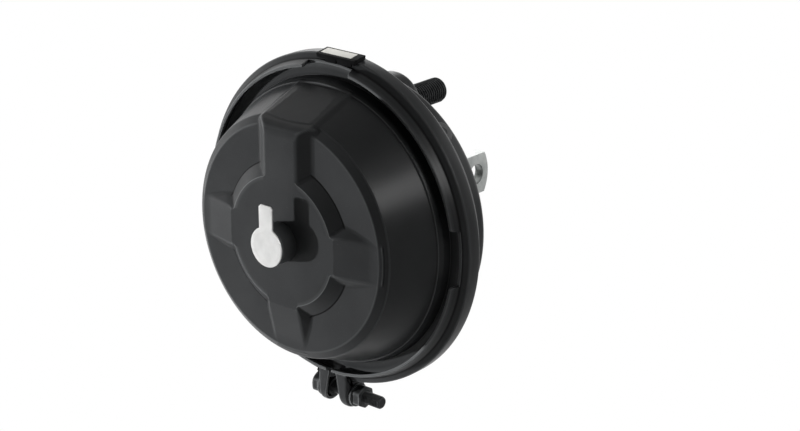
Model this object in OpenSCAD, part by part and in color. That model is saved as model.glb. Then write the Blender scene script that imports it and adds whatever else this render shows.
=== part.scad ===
// Air brake chamber, type 30: a diaphragm chamber for the service brake of a truck or trailer axle.
// The chamber's axis runs along Y. The cover faces -Y, the push rod comes out towards +Y, and +Z is up.
// The origin is the centre of the mounting face, between the two studs.

/* [Cover] */
// Height of the cover from the parting plane to the face of its hub
cover_h = 52.3; // [45:0.1:60]
// Wall of both pressed housings
wall = 2.8; // [2:0.1:3.4]
// Radius of the flat hub face
hub_r = 40.1; // [34:0.1:45]
// How far the hub stands above the four pads around it
hub_rise = 6.1; // [5:0.1:8]
// How far the sloped wall of the hub runs out from the hub face
hub_run = 8.2; // [6:0.1:10]
// Rounding of the shoulder between the pads and the cone
shoulder_round = 10; // [8:0.5:12]
// How much wider the cone is at the rim than at the pads
cone_run = 14.6; // [12:0.1:18]
// Gap between the cone's end and the lip of the clamp band
cone_gap = 7; // [5:0.1:9]
// Length of the bead at the cone's end
bead_len = 3.6; // [3:0.1:4.5]
// Height of the bead over the cone
bead_rise = 0.9; // [0.5:0.1:1.2]

/* [Rib and ramps] */
// Half the width of the tall rib at the hub face
rib_top = 12.5; // [10:0.5:15]
// How far each side of the tall rib spreads down to the pads
rib_spread = 8.5; // [6:0.5:11]
// How far inside the cover's corner the tall rib turns back
rib_under = 4.4; // [3:0.1:6]
// How far the rib's sloped facet ends inside the end of the cone
facet_under = 3.4; // [2.8:0.1:4.4]
// Half the width of the rib's sloped facet
facet_half = 18.5; // [16:0.5:21]
// Width of the bevelled edge down each side of the facet
facet_bevel = 9; // [7:0.5:11]
// Angle of this edge to the facet
bevel_angle = 21.8; // [15:0.1:30]
// Rounding between the rib's face and the facet
rib_round = 6; // [4:0.5:7]
// Half the width of the three ramps at the hub face
ramp_top = 12; // [9:0.5:14]
// How far each side of a ramp spreads down to the pads
ramp_spread = 6; // [4:0.5:8]
// How far inside the cover's corner the ramps run out
ramp_under = 7.6; // [6:0.1:14]

/* [Clamped rim] */
// Distance from the mounting face forward to the parting plane
rim_back = 54; // [48:0.5:60]
// Outer radius of both housing flanges and of the diaphragm
flange_r = 100; // [90:0.5:112]
// Thickness of each flange
flange_t = 2.6; // [2:0.1:3]
// Thickness of the diaphragm's rim
rim_t = 4; // [3:0.1:6]

/* [Clamp band] */
// How far the band's outside stands over the flanges
band_over = 4.5; // [4:0.1:7]
// Thickness of the band's steel
band_t = 2.1; // [1.8:0.1:2.4]
// How far the band's front and rear lips reach in over the flanges
lip_bite = 3.8; // [3:0.1:5]
// Length of each lip past the flange that it holds
lip_len = 7.4; // [5:0.1:9]
// Half angle of the notches in the front lip
notch_half = 10.5; // [6:0.5:14]
// Gap between the band's two ends
band_gap = 4.6; // [3:0.1:7]
// Width of each ear at the band's ends, along the bolt
ear_w = 10.2; // [8:0.1:12]
// Radius of each ear's round end
ear_r = 9; // [8:0.5:11]
// How far the bolt's axis lies outside the band
ear_drop = 9.7; // [8:0.1:12]
// Angle by which the open edge of each ear leans away from the gap
ear_lean = 11; // [0:1:15]

/* [Clamp bolt] */
// Diameter of the clamp bolt
bolt_d = 8; // [6:0.5:9]
// Width across the flats of the bolt's head and nut
bolt_flats = 13; // [12:0.5:15]
// Length of the sleeve on the bolt inside each ear
spacer_len = 5; // [3:0.1:6]
// Wall of this sleeve
spacer_wall = 1.9; // [1:0.1:2.4]
// Thickness of the washer under the nut, and of the collar under the bolt's head
washer_t = 1.6; // [1:0.1:2.5]
// How far the washer and the collar stand out past the flats
washer_over = 1.3; // [0.8:0.1:2]
// Height of the nut
nut_h = 6.2; // [5:0.1:8]
// Height of the bolt's head
head_h = 5.4; // [4:0.1:7]
// Length of thread that shows past the nut
bolt_tail = 13.3; // [8:0.1:18]

/* [Data plate] */
// Length of the bare data plate
plate_len = 28; // [20:0.5:34]
// Width of the data plate
plate_w = 6.9; // [5:0.1:8]
// Thickness of the data plate
plate_t = 0.6; // [0.4:0.1:1]
// How far the plate sits forward of the parting plane
plate_fore = 2.2; // [1:0.1:3]
// How far the plate sits to the right of the top of the band
plate_right = 4.8; // [0:0.1:6]
// How far the holder reaches past each end of the plate
holder_margin = 1.1; // [0.8:0.1:2]
// Height of the holder's flat top over the band
holder_t = 0.7; // [0.5:0.1:1.6]
// Angle by which the holder's top falls to the front
holder_tilt = 9.4; // [6:0.1:12]
// Thickness of the holder's two front tabs
tab_t = 0.9; // [0.6:0.1:1.6]
// How far the two tabs hang down inside the band's outside
tab_drop = 4.6; // [3.5:0.1:6]

/* [Rear housing] */
// Width of the rear housing's flange outside its side
flange_w = 12; // [10:0.1:13]
// How much narrower the side is at its far end
side_taper = 1; // [0.5:0.1:2.5]
// How far the cone between the side and the flat end reaches forward
end_cone = 23; // [18:0.5:26]
// How far this cone runs in towards the flat end
end_cone_in = 23; // [18:0.5:26]
// Radius of the round lobe about each stud
lobe_r = 21; // [18:0.5:24]
// Radius of the vent holes
vent_r = 4; // [3:0.1:5]
// Distance of the vent holes behind the flange
vent_behind = 16.4; // [13:0.1:18]
// Height of each vent plug's head
vent_head = 1.6; // [1:0.1:2.4]

/* [Studs] */
// Distance between the two studs
stud_pitch = 120.65; // [108:0.05:134]
// Diameter of the studs
stud_d = 16; // [12:0.5:18]
// Length of the studs out of the mounting face
stud_len = 40; // [25:0.5:48]
// How far the knurled neck that holds each stud stands over its thread
neck_over = 0.4; // [0.3:0.1:0.8]
// How far the stud's head inside the housing stands over its neck
head_over = 4; // [3:0.1:5]
// Thickness of the stud's head
stud_head_h = 3; // [2:0.1:4]
// Thickness of the stiffening plate inside the housing
stiffener_t = 4; // [3:0.1:4.5]
// How far the stiffening plate reaches past the spring seat
stiffener_over = 2.7; // [1:0.1:4]

/* [Push rod] */
// Diameter of the push rod
rod_d = 16; // [14:0.5:18]
// Room between the push plate's edge and the cover's corner
push_room = 16.6; // [15:0.1:20]
// Thickness of the push plate
push_t = 3; // [2:0.1:3.5]
// Height of the push plate's turned edge
push_edge = 3; // [2:0.1:3.4]
// Thickness of the diaphragm's wall
skin_t = 3; // [2.5:0.1:3.4]
// Room between the diaphragm's side and the cover, for the flat behind the rib
skin_side = 2.4; // [2.2:0.1:3]
// Wall of the collar that joins the rod to the push plate
collar_wall = 7; // [5:0.1:8]
// Height of the collar
collar_h = 5.5; // [4:0.1:7]
// Wall of the bush that guides the rod
bush_wall = 4; // [3:0.1:5]
// Width of the bush's flange
bush_flange = 5; // [3.5:0.1:6]
// Thickness of the bush's flange
bush_t = 3; // [2:0.1:4]
// Distance from the mounting face to the lock nut
nut_out = 7.7; // [6.5:0.1:12]
// Room between the dust seal's lip and the lock nut
lip_room = 2.2; // [1:0.1:3]
// Width across the flats of the lock nut
nut_flats = 24; // [21:0.5:27]
// Height of the lock nut
lock_h = 8; // [6:0.5:12]

/* [Fork head] */
// Outer width of the square fork
fork_w = 27; // [24:0.5:32]
// Width of the fork's slot
slot_w = 14; // [12:0.5:16]
// Diameter of the clevis pin hole
pin_d = 14; // [10:0.5:16]
// Distance from the fork's neck to the pin hole
pin_out = 47.5; // [42:0.5:56]
// Depth of the slot below the pin hole
slot_deep = 28; // [24:0.5:31]
// Length of the fork past the pin hole
fork_tip = 12.2; // [10:0.1:15]
// Radius of the fork's rounded end, across the pin hole
fork_end_r = 26; // [20:0.5:34]
// Length of the round neck
neck_len = 11; // [8:0.5:14]
// How much slimmer the neck is than the square part, on each side
neck_in = 0.8; // [0.4:0.1:2]
// Thread of the rod left short of the slot
rod_short = 2.5; // [1:0.1:4]

/* [Return spring] */
// Diameter of the spring wire
wire_d = 5; // [3:0.1:5.6]
// Room between the small coil and the collar
coil_room = 2.5; // [1:0.1:4]
// Thickness of the spring's seat
seat_t = 1.5; // [1:0.1:2]
// Height of the seat's outer rim
seat_rim = 2.5; // [1.5:0.1:3]
// Number of turns
coil_turns = 4.5; // [3:0.25:5]

/* [Air port] */
// Radius of the boss around the air port
boss_r = 12.3; // [11:0.1:14]
// How far the boss stands out of the hub face
boss_h = 11.5; // [8:0.5:16]
// Radius of the tapped hole, at its crests
port_r = 7.2; // [5:0.1:8.1]
// How much slimmer the boss's spigot is than the boss
spigot_in = 2.8; // [2:0.1:3]
// Thickness of the sealing disc
seal_t = 1.3; // [1:0.1:2]
// Width of the sealing disc's tab
tab_w = 10.4; // [6:0.2:14]
// Height of the tab's end above the axis
tab_end = 26; // [18:0.5:30]

/* [Hidden] */
$fn = 96;

// Clearances: between moving bodies, between a thread and its nut, and where a round piece seats
gap = 0.3;
thread_gap = 0.05;
seat_gap = 0.1;
eps = 0.01;

// Radii that follow from the sizes above
band_r = flange_r + band_over;
lip_r = flange_r - lip_bite;
cone_r = lip_r - cone_gap;
pad_r = cone_r - cone_run;
hub_foot_r = hub_r + hub_run;
rib_turn = pad_r - rib_under;
rib_end = cone_r - facet_under;
rib_foot = rib_top + rib_spread;
ramp_foot = ramp_top + ramp_spread;
ramp_end = pad_r - ramp_under;
bolt_drop = band_r + ear_drop;
spacer_r = bolt_d / 2 + spacer_wall;
side_r = flange_r - flange_w;
corner_r = side_r - side_taper;
end_r = corner_r - end_cone_in;
lobe_deep = end_cone - 3;
stud_neck_r = stud_d / 2 + neck_over;
stud_head_r = stud_neck_r + head_over;
seat_wall = 1.2;
seat_room = 0.6;
seat_out = stud_pitch / 2 - stud_head_r - seat_wall - seat_room;
coil_large = seat_out - wire_d / 2 - seat_room;
stiffener_r = seat_out + seat_wall + stiffener_over;
push_r = pad_r - push_room;
collar_r = rod_d / 2 + collar_wall;
coil_small = collar_r + coil_room + wire_d / 2;
bush_r = rod_d / 2 + bush_wall;
spigot_r = boss_r - spigot_in;

// Places along the axis
rim_y = -rim_back;
hub_y = rim_y - cover_h;
pad_y = hub_y + hub_rise;
front_rim = rim_y - rim_t / 2;
rear_rim = rim_y + rim_t / 2;
front_flange = front_rim - flange_t;
rear_flange = rear_rim + flange_t;
cone_y = front_flange - 5.2;
bead_y = cone_y - bead_len;
inner_pad_y = pad_y + wall;
skin_y = inner_pad_y + gap;
plate_y = skin_y + skin_t + gap;
mouth_y = hub_y - boss_h;
seat_y = -wall - stiffener_t;
holder_y = front_flange - 2.6;
fork_y = nut_out + lock_h + gap;
pin_y = fork_y + pin_out;
tip_y = pin_y + fork_tip;
slot_y = pin_y - slot_deep;
vent_y = rear_flange + vent_behind;
ear_y = rim_y;
web_out = band_gap / 2 + ear_w;
web_in = web_out - band_t;
holder_len = plate_len + 2 * holder_margin;
black = "#1c1d1f";
steel = "#b9bcc0";
rubber = "#26272a";

function unit(v) = v / norm(v);

// The arc of radius r that rounds the corner at b between a and c
function round_corner(a, b, c, r, n = 5) =
    let (u = unit(a - b), v = unit(c - b), half = acos(u * v) / 2, cut = r / tan(half))
    let (mid = b + unit(u + v) * r / sin(half))
    [for (i = [0:n]) mid + unit(b + u * cut * (1 - i / n) + v * cut * i / n - mid) * r];

function xy(p) = [p[0], p[1]];

// A path of [r, y, rounding] points, with each corner rounded
function smooth(path) =
    [for (i = [0:len(path) - 1])
        each (len(path[i]) < 3 || i == 0 || i == len(path) - 1
            ? [xy(path[i])]
            : round_corner(xy(path[i - 1]), xy(path[i]), xy(path[i + 1]), path[i][2]))];

function side(a, b) = let (d = unit(b - a)) [-d[1], d[0]];

// The same path moved sideways by t, so that a wall has one thickness all along
function inset(path, t) =
    [for (i = [0:len(path) - 1])
        let (a = xy(path[max(i - 1, 0)]), b = xy(path[i]), c = xy(path[min(i + 1, len(path) - 1)]))
        let (n1 = i == 0 ? side(b, c) : side(a, b))
        let (n2 = i == len(path) - 1 ? n1 : side(b, c))
        let (turn = cross(n1, n2), r = len(path[i]) < 3 ? 0 : path[i][2])
        let (p = b + (n1 + n2) * t / (1 + n1 * n2))
        r == 0 ? p : [p[0], p[1], r + (turn > 0 ? -t : t)]];

function reversed(v) = [for (i = [len(v) - 1:-1:0]) v[i]];

// Turns a profile of [radius, y] points about the chamber's axis
module turned(points, sides = 128) {
    rotate([-90, 0, 0]) rotate_extrude($fn = sides) polygon(points);
}

// A sector of a turned profile, of a half angle each way from a clock direction, where 0 is up
module turned_sector(points, clock, half) {
    rotate([0, clock, 0]) rotate([-90, 0, 0]) rotate([0, 0, -90 - half])
        rotate_extrude(angle = 2 * half, $fn = 128) polygon(points);
}

// A round bar along Y, from y0 to y1
module bar(y0, y1, r) {
    translate([0, y0, 0]) rotate([-90, 0, 0]) cylinder(h = y1 - y0, r = r);
}

// A round bar along X, from x0 to x1
module cross_bar(x0, x1, r) {
    translate([x0, 0, 0]) rotate([0, 90, 0]) cylinder(h = x1 - x0, r = r);
}

// A hexagonal prism along Y, from y0 to y1
module hex_bar(y0, y1, flats) {
    translate([0, y0, 0]) rotate([-90, 0, 0]) cylinder(h = y1 - y0, r = flats / sqrt(3), $fn = 6);
}

// Outer form of the cover, from the axis to the end of its cone, without and with the bead there
cone_path = [
    [0, hub_y], [hub_r, hub_y, 3], [hub_foot_r, pad_y, 3],
    [pad_r, pad_y, shoulder_round], [cone_r - bead_rise, cone_y, 1.5], [cone_r, front_flange]
];
bead_r = pad_r + (cone_r - bead_rise - pad_r) * (bead_y - pad_y) / (cone_y - pad_y);
cover_path = [
    cone_path[0], cone_path[1], cone_path[2], cone_path[3], [bead_r, bead_y],
    [bead_r + bead_rise, bead_y + 0.5], [cone_r, cone_y, 1.5], [cone_r + 0.9, front_flange]
];
cover_inner = inset(cone_path, wall);

// Slope of the tall rib's facet, and its height above the axis at y, drawn smaller by t
facet_slope = (rib_end - rib_turn) / (bead_y - hub_y);
facet_angle = atan(facet_slope);
function facet_z(y, t) = rib_turn + facet_slope * (y - hub_y) - t / cos(facet_angle);

// What the facet cuts off the top of the cone
module facet_cut(t = 0) {
    half = facet_half + 6;
    end_y = bead_y + 0.25;
    under = t + 0.02;
    rotate([90, 0, 90]) linear_extrude(height = 2 * half, center = true)
        polygon([[hub_y - 5, facet_z(hub_y - 5, under)], [end_y, facet_z(end_y, under)],
            [end_y, cone_r + 10], [hub_y - 5, cone_r + 10]]);
}

module cover_outside() {
    difference() {
        turned(concat([[0, front_rim]], smooth(cover_path), [[cone_r + 0.9, front_rim]]));
        facet_cut();
    }
}

module cover_inside() {
    last = cover_inner[len(cover_inner) - 1];
    difference() {
        turned(concat([[0, front_rim + 1]], smooth(cover_inner), [[last[0], front_rim + 1]]));
        facet_cut(wall);
    }
}

// The tall rib: a flat bar up the face that turns back over the shoulder as a sloped facet with
// bevelled edges. Drawn smaller by t, it is the hollow behind it.
module tall_rib(t = 0) {
    face = hub_y + t;
    rib_back = bead_y + 1.2 - t;
    spread = (rib_foot - rib_top) / hub_rise;
    shift = t * (sqrt(1 + spread * spread) - spread);
    foot = [rib_foot + 6 - t, pad_y + 6 / spread];
    slope = tan(bevel_angle);
    roof = facet_half - slope * t;
    crest = 0.5;
    edge = roof + facet_bevel;
    low = hub_r / 2;
    intersection() {
        rotate([90, 0, 90]) linear_extrude(height = 4 * rib_foot, center = true)
            polygon(concat(smooth([[face, low], [face, facet_z(face, t), rib_round],
                [rib_back, facet_z(rib_back, t)]]), [[rib_back, 1.5 * low], [pad_y + 14, low]]));
        translate([0, 0, low - 5]) linear_extrude(height = cone_r)
            polygon([[-rib_top + shift, face], [-foot[0], foot[1] + t], [-foot[0], rib_back + 1],
                [foot[0], rib_back + 1], [foot[0], foot[1] + t], [rib_top - shift, face]]);
        translate([0, hub_y, rib_turn]) rotate([facet_angle, 0, 0]) translate([0, cover_h * 1.2, -t])
            rotate([90, 0, 0]) linear_extrude(height = cover_h * 1.6)
                polygon([[-roof + crest / slope, crest], [-edge, -facet_bevel * slope], [-edge, -cone_r],
                    [edge, -cone_r], [edge, -facet_bevel * slope], [roof - crest / slope, crest]]);
    }
}

// A ramp from the hub face down to the pads, drawn upwards from the axis
module ramp() {
    hull() {
        translate([0, hub_y, 0]) rotate([-90, 0, 0]) linear_extrude(height = 0.02)
            polygon([for (s = [-1, 1], z = [hub_r - 6, hub_r + 1]) [s * ramp_top, -z]]);
        translate([0, pad_y, 0]) rotate([-90, 0, 0]) linear_extrude(height = 1)
            polygon([for (p = [[-1, 34], [-1, hub_foot_r], [1, hub_foot_r], [1, 34]])
                [p[0] * ramp_foot, -p[1]]]);
        translate([0, pad_y, 0]) rotate([-90, 0, 0]) linear_extrude(height = 1)
            polygon([[-ramp_top, -ramp_end], [ramp_top, -ramp_end], [0, -hub_foot_r]]);
    }
}

module pressure_housing() {
    last = cover_inner[len(cover_inner) - 1];
    color(black) difference() {
        union() {
            cover_outside();
            tall_rib();
            for (clock = [90, 180, 270]) rotate([0, clock, 0]) ramp();
            turned([[last[0] + 0.5, front_flange], [flange_r, front_flange],
                [flange_r, front_rim], [last[0] + 0.5, front_rim]]);
        }
        cover_inside();
        tall_rib(wall);
        bar(hub_y - 1, hub_y + 20, spigot_r + seat_gap);
    }
}

module port_boss() {
    color(black) turned([[port_r, mouth_y], [boss_r - 0.8, mouth_y], [boss_r, mouth_y + 0.8],
        [boss_r, hub_y], [spigot_r, hub_y], [spigot_r, hub_y + wall + 1.5], [port_r, hub_y + wall + 1.5]], 96);
}

module seal_disc() {
    seal_y = mouth_y - gap - seal_t;
    color(steel) union() {
        bar(seal_y, seal_y + seal_t, boss_r);
        difference() {
            translate([-tab_w / 2, seal_y, 0]) cube([tab_w, seal_t, tab_end]);
            for (s = [-1, 1])
                translate([s * tab_w / 2, seal_y + seal_t / 2, tab_end]) rotate([0, 45, 0])
                    cube([2, seal_t + 1, 2], center = true);
        }
    }
}

module diaphragm() {
    lie = inset(cone_path, wall + skin_side);
    corner = lie[3] + (lie[4] - lie[3]) * (skin_y - lie[3][1]) / (lie[4][1] - lie[3][1]);
    outer = [[0, skin_y], [corner[0], skin_y, shoulder_round - 2], [lie[4][0], cone_y, 2],
        [lie[4][0] + 0.3, front_rim]];
    inner = inset(outer, skin_t);
    color(rubber) turned(concat(smooth(outer), [[flange_r, front_rim], [flange_r, rear_rim],
        [inner[3][0], rear_rim]], reversed(smooth(inner))));
}

// The outside of half of the band's section, from the lip's end back to the flat outside.
// s is -1 for the front half and 1 for the rear half.
function outside_section(s) = let (shoulder = flange_t + rim_t / 2)
    [[lip_r + 1.9, s * (shoulder + lip_len + 0.5)], [lip_r + 4, s * (shoulder + 2)], [band_r, s * shoulder]];

// Half of the band's section: its inside, and then its outside
function half_section(s) = let (shoulder = flange_t + rim_t / 2, lip = shoulder + lip_len)
    concat([[band_r - band_t, s * (shoulder - 1.4)], [flange_r + 0.5, s * shoulder], [lip_r + 2, s * shoulder],
        [lip_r + 2, s * (shoulder + 2.1)], [lip_r, s * lip]], outside_section(s));

// The outline of an ear across the bolt, from its round end up to a height, with the corners of its wall
module ear_outline(r, top) {
    union() {
        translate([0, -bolt_drop]) circle(r = r);
        translate([-r, -bolt_drop]) square([2 * r, bolt_drop - top]);
    }
}

// One end of the band, turned down and pressed into a cup about the bolt's hole, open towards the gap
module ear(x) {
    sunk = 0.8;
    low = 30;
    front = [for (p = outside_section(-1)) [p[0] - sunk, p[1]]];
    rear = [for (p = outside_section(1)) [p[0] - sunk, p[1]]];
    mirror([x < 0 ? 1 : 0, 0, 0]) difference() {
        translate([band_gap / 2, ear_y, 0]) rotate([90, 0, 90]) linear_extrude(height = ear_w)
            ear_outline(ear_r, lip_r);
        translate([0, ear_y, 0]) rotate([90, 0, 90]) linear_extrude(height = web_in)
            ear_outline(ear_r - band_t, band_r + 0.4);
        translate([0, rim_y, 0]) turned(concat([[0, front[0][1]]], front, reversed(rear), [[0, rear[0][1]]]));
        translate([0, ear_y, 0]) rotate([90, 0, 0]) linear_extrude(height = 4 * ear_r, center = true)
            polygon([[-1, -flange_r], [band_gap / 2, -flange_r],
                [band_gap / 2 + low * tan(ear_lean), -flange_r - low], [-1, -flange_r - low]]);
        translate([0, ear_y, -bolt_drop]) cross_bar(0, 2 * ear_w, bolt_d / 2 + 0.2);
    }
}

module clamp_band() {
    front = half_section(-1);
    rear = half_section(1);
    lip_y = front_flange - 0.6;
    notch = [[lip_r - 3, lip_y - lip_len - 2], [band_r - 2, lip_y - lip_len - 2],
        [band_r - 2, lip_y - 1.6], [lip_r - 3, lip_y - 1.6]];
    color(black) union() {
        difference() {
            translate([0, rim_y, 0]) turned(concat(front, reversed(rear)));
            for (clock = [0, 90, 270]) turned_sector(notch, clock, notch_half);
            translate([-band_gap / 2, rim_y - 20, -band_r - 5]) cube([band_gap, 40, band_r]);
        }
        ear(-1);
        ear(1);
    }
}

module clamp_bolt() {
    head_x = -web_out - washer_t;
    tip = web_out + washer_t + nut_h + bolt_tail;
    color(black) translate([0, ear_y, -bolt_drop]) union() {
        cross_bar(head_x - 1, tip - 1, bolt_d / 2);
        translate([tip - 1, 0, 0]) rotate([0, 90, 0]) cylinder(h = 1, r1 = bolt_d / 2, r2 = bolt_d / 2 - 1);
        cross_bar(head_x, -web_out, bolt_flats / 2 + washer_over);
        translate([head_x - head_h, 0, 0]) rotate([0, 90, 0])
            cylinder(h = head_h, r = bolt_flats / sqrt(3), $fn = 6);
    }
}

module clamp_spacers() {
    color(black) translate([0, ear_y, -bolt_drop]) for (s = [-1, 1])
        mirror([s < 0 ? 1 : 0, 0, 0]) difference() {
            cross_bar(web_in - spacer_len, web_in, spacer_r);
            cross_bar(web_in - spacer_len - 1, web_in + 1, bolt_d / 2 + seat_gap);
        }
}

module clamp_washer() {
    color(black) translate([0, ear_y, -bolt_drop]) difference() {
        cross_bar(web_out, web_out + washer_t, bolt_flats / 2 + washer_over);
        cross_bar(web_out - 1, web_out + washer_t + 1, bolt_d / 2 + seat_gap);
    }
}

module clamp_nut() {
    nut_x = web_out + washer_t;
    color(black) translate([0, ear_y, -bolt_drop]) difference() {
        translate([nut_x, 0, 0]) rotate([0, 90, 0])
            cylinder(h = nut_h, r = bolt_flats / sqrt(3), $fn = 6);
        cross_bar(nut_x - 1, nut_x + nut_h + 1, bolt_d / 2 + thread_gap);
    }
}

// Height of the holder's sloped top at y
function holder_z(y) = band_r + holder_t + (y - rim_y) * tan(holder_tilt);

module plate_holder() {
    back_y = rim_y - plate_fore + plate_w / 2 + holder_margin;
    front_y = holder_y - tab_t;
    foot = band_r - 2.5;
    proud = 0.1;
    outer = outside_section(-1);
    color(black) difference() {
        translate([plate_right, 0, 0]) union() {
            rotate([90, 0, 90]) linear_extrude(height = holder_len, center = true)
                polygon([[front_y, foot], [front_y, holder_z(front_y)], [back_y, holder_z(back_y)], [back_y, foot]]);
            for (tab = [[-0.54, 0.04], [0.09, 0.83]])
                translate([tab[0] * holder_len / 2, front_y - proud, band_r - tab_drop])
                    cube([(tab[1] - tab[0]) * holder_len / 2, tab_t, tab_drop - 1]);
        }
        translate([0, rim_y, 0]) turned([[0, 2 * plate_w], [band_r, 2 * plate_w], outer[2], outer[1],
            [0, outer[1][1]]], 256);
    }
}

module data_plate() {
    y0 = rim_y - plate_fore - plate_w / 2;
    y1 = y0 + plate_w;
    color(steel) translate([plate_right, 0, 0]) rotate([90, 0, 90])
        linear_extrude(height = plate_len, center = true)
            polygon([[y0, holder_z(y0)], [y1, holder_z(y1)],
                [y1, holder_z(y1) + plate_t], [y0, holder_z(y0) + plate_t]]);
}

// Outer form of the rear housing, from the flange to the flat end
bowl_path = [[side_r + 1.5, rear_flange], [side_r, rear_flange + 2, 2], [corner_r, -end_cone, 5],
    [end_r, 0, 8], [0, 0]];
bowl_inner = inset(bowl_path, wall);

module non_pressure_housing() {
    color(black) difference() {
        union() {
            turned(concat([[0, rear_rim]], [[side_r + 1.5, rear_rim]], smooth(bowl_path)));
            turned([[side_r - wall, rear_rim], [flange_r, rear_rim], [flange_r, rear_flange],
                [side_r - wall, rear_flange]]);
            for (s = [-1, 1]) translate([0, 0, s * stud_pitch / 2]) bar(-lobe_deep, 0, lobe_r);
        }
        turned(concat([[0, rear_rim - 1]], [[bowl_inner[0][0], rear_rim - 1]], smooth(bowl_inner)));
        for (s = [-1, 1]) translate([0, 0, s * stud_pitch / 2]) bar(-lobe_deep - 4, -wall, lobe_r - wall);
        for (s = [-1, 1]) translate([0, 0, s * stud_pitch / 2]) bar(-wall - 1, 1, stud_neck_r + seat_gap);
        bar(-wall - 1, 1, bush_r + seat_gap);
        for (clock = [45:90:315]) rotate([0, clock, 0]) translate([0, vent_y, side_r - 4 * wall])
            cylinder(h = 8 * wall, r = vent_r + seat_gap);
    }
}

module vent_plugs() {
    color(rubber) for (clock = [45:90:315]) rotate([0, clock, 0]) translate([0, vent_y, 0]) union() {
        translate([0, 0, side_r - 2 * wall]) cylinder(h = 2 * wall + 1, r = vent_r, $fn = 48);
        translate([0, 0, side_r + 0.4]) cylinder(h = vent_head, r = vent_r + 2.5, $fn = 48);
    }
}

module stiffening_plate() {
    color(black) difference() {
        union() {
            bar(seat_y, -wall, stiffener_r);
            for (s = [-1, 1]) translate([0, 0, s * stud_pitch / 2]) bar(seat_y, -wall, lobe_r - wall - 1.2);
        }
        bar(seat_y - 1, 0, bush_r + bush_flange + 2);
        for (s = [-1, 1]) translate([0, 0, s * stud_pitch / 2]) bar(seat_y - 1, 0, stud_neck_r + seat_gap);
    }
}

module stud(s) {
    color(black) translate([0, 0, s * stud_pitch / 2]) union() {
        bar(seat_y - stud_head_h, seat_y, stud_head_r);
        bar(seat_y - eps, neck_over, stud_neck_r);
        bar(0, stud_len - 1.5, stud_d / 2);
        translate([0, stud_len - 1.5, 0]) rotate([-90, 0, 0])
            cylinder(h = 1.5, r1 = stud_d / 2, r2 = stud_d / 2 - 1.2);
    }
}

module stud_upper() stud(1);
module stud_lower() stud(-1);

module rod_guide() {
    bore = rod_d / 2 + gap;
    color("#d8d6cc") turned([[bore, -wall - bush_t], [bush_r + bush_flange, -wall - bush_t],
        [bush_r + bush_flange, -wall], [bush_r, -wall], [bush_r, 0], [bore, 0]], 96);
}

module dust_seal() {
    bore = rod_d / 2 + gap;
    end = nut_out - lip_room;
    color(rubber) turned([[bore, 0], [bush_r + bush_wall * 0.75, 0], [bush_r + bush_wall * 0.75, end * 0.36],
        [bush_r, end * 0.45], [bore + bush_wall * 0.4, end], [bore, end]], 96);
}

module spring_seat() {
    seat_in = coil_large - 1.2 * wire_d;
    color(black) turned([[seat_in, seat_y - seat_t], [seat_out, seat_y - seat_t],
        [seat_out, seat_y - seat_t - seat_rim], [seat_out + seat_wall, seat_y - seat_t - seat_rim],
        [seat_out + seat_wall, seat_y], [seat_in, seat_y]], 96);
}

// A conical spring: a ring of 8 points carried along a helix whose radius grows with each turn
module return_spring() {
    steps = round(coil_turns * 24);
    start_y = plate_y + push_t + gap + wire_d / 2;
    end_y = seat_y - seat_t - gap - wire_d / 2;
    ring = 8;
    r = wire_d / 2;
    points = [for (i = [0:steps], k = [0:ring - 1])
        let (t = i / steps, a = 360 * coil_turns * t, coil = coil_small + (coil_large - coil_small) * t)
        let (out = coil + r * cos(360 * k / ring), y = start_y + (end_y - start_y) * t)
        [out * sin(a), y + r * sin(360 * k / ring), out * cos(a)]];
    sides = [for (i = [0:steps - 1], k = [0:ring - 1])
        let (a = i * ring + k, b = i * ring + (k + 1) % ring)
        each [[a, b, b + ring], [a, b + ring, a + ring]]];
    first = [for (k = [0:ring - 1]) ring - 1 - k];
    last = [for (k = [0:ring - 1]) steps * ring + k];
    color(steel) polyhedron(points = points, faces = concat(sides, [first, last]), convexity = 8);
}

module push_plate() {
    back = plate_y + push_t;
    color(steel) turned([[0, plate_y], [push_r - 3, plate_y], [push_r, plate_y + 1.5],
        [push_r, back + push_edge], [push_r - push_t, back + push_edge], [push_r - push_t, back + 0.5],
        [push_r - push_t - 0.5, back], [0, back]], 96);
}

module plate_collar() {
    back = plate_y + push_t;
    bore = rod_d / 2 + seat_gap;
    color(steel) turned([[bore, back], [collar_r, back], [collar_r, back + collar_h * 0.3],
        [bore + collar_wall * 0.35, back + collar_h], [bore, back + collar_h]], 96);
}

module push_rod() {
    back = plate_y + push_t;
    tip = slot_y - rod_short;
    end_bevel = 1.2;
    color(steel) union() {
        bar(back, tip - end_bevel, rod_d / 2);
        translate([0, tip - end_bevel, 0]) rotate([-90, 0, 0])
            cylinder(h = end_bevel, r1 = rod_d / 2, r2 = rod_d / 2 - end_bevel);
    }
}

module fork_lock_nut() {
    color(steel) difference() {
        intersection() {
            hex_bar(nut_out, nut_out + lock_h, nut_flats);
            turned([[0, nut_out], [nut_flats / 2, nut_out], [nut_flats / 2 + 2, nut_out + 1.2],
                [nut_flats / 2 + 2, nut_out + lock_h - 1.2], [nut_flats / 2, nut_out + lock_h],
                [0, nut_out + lock_h]], 96);
        }
        bar(nut_out - 1, nut_out + lock_h + 1, rod_d / 2 + thread_gap);
    }
}

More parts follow.
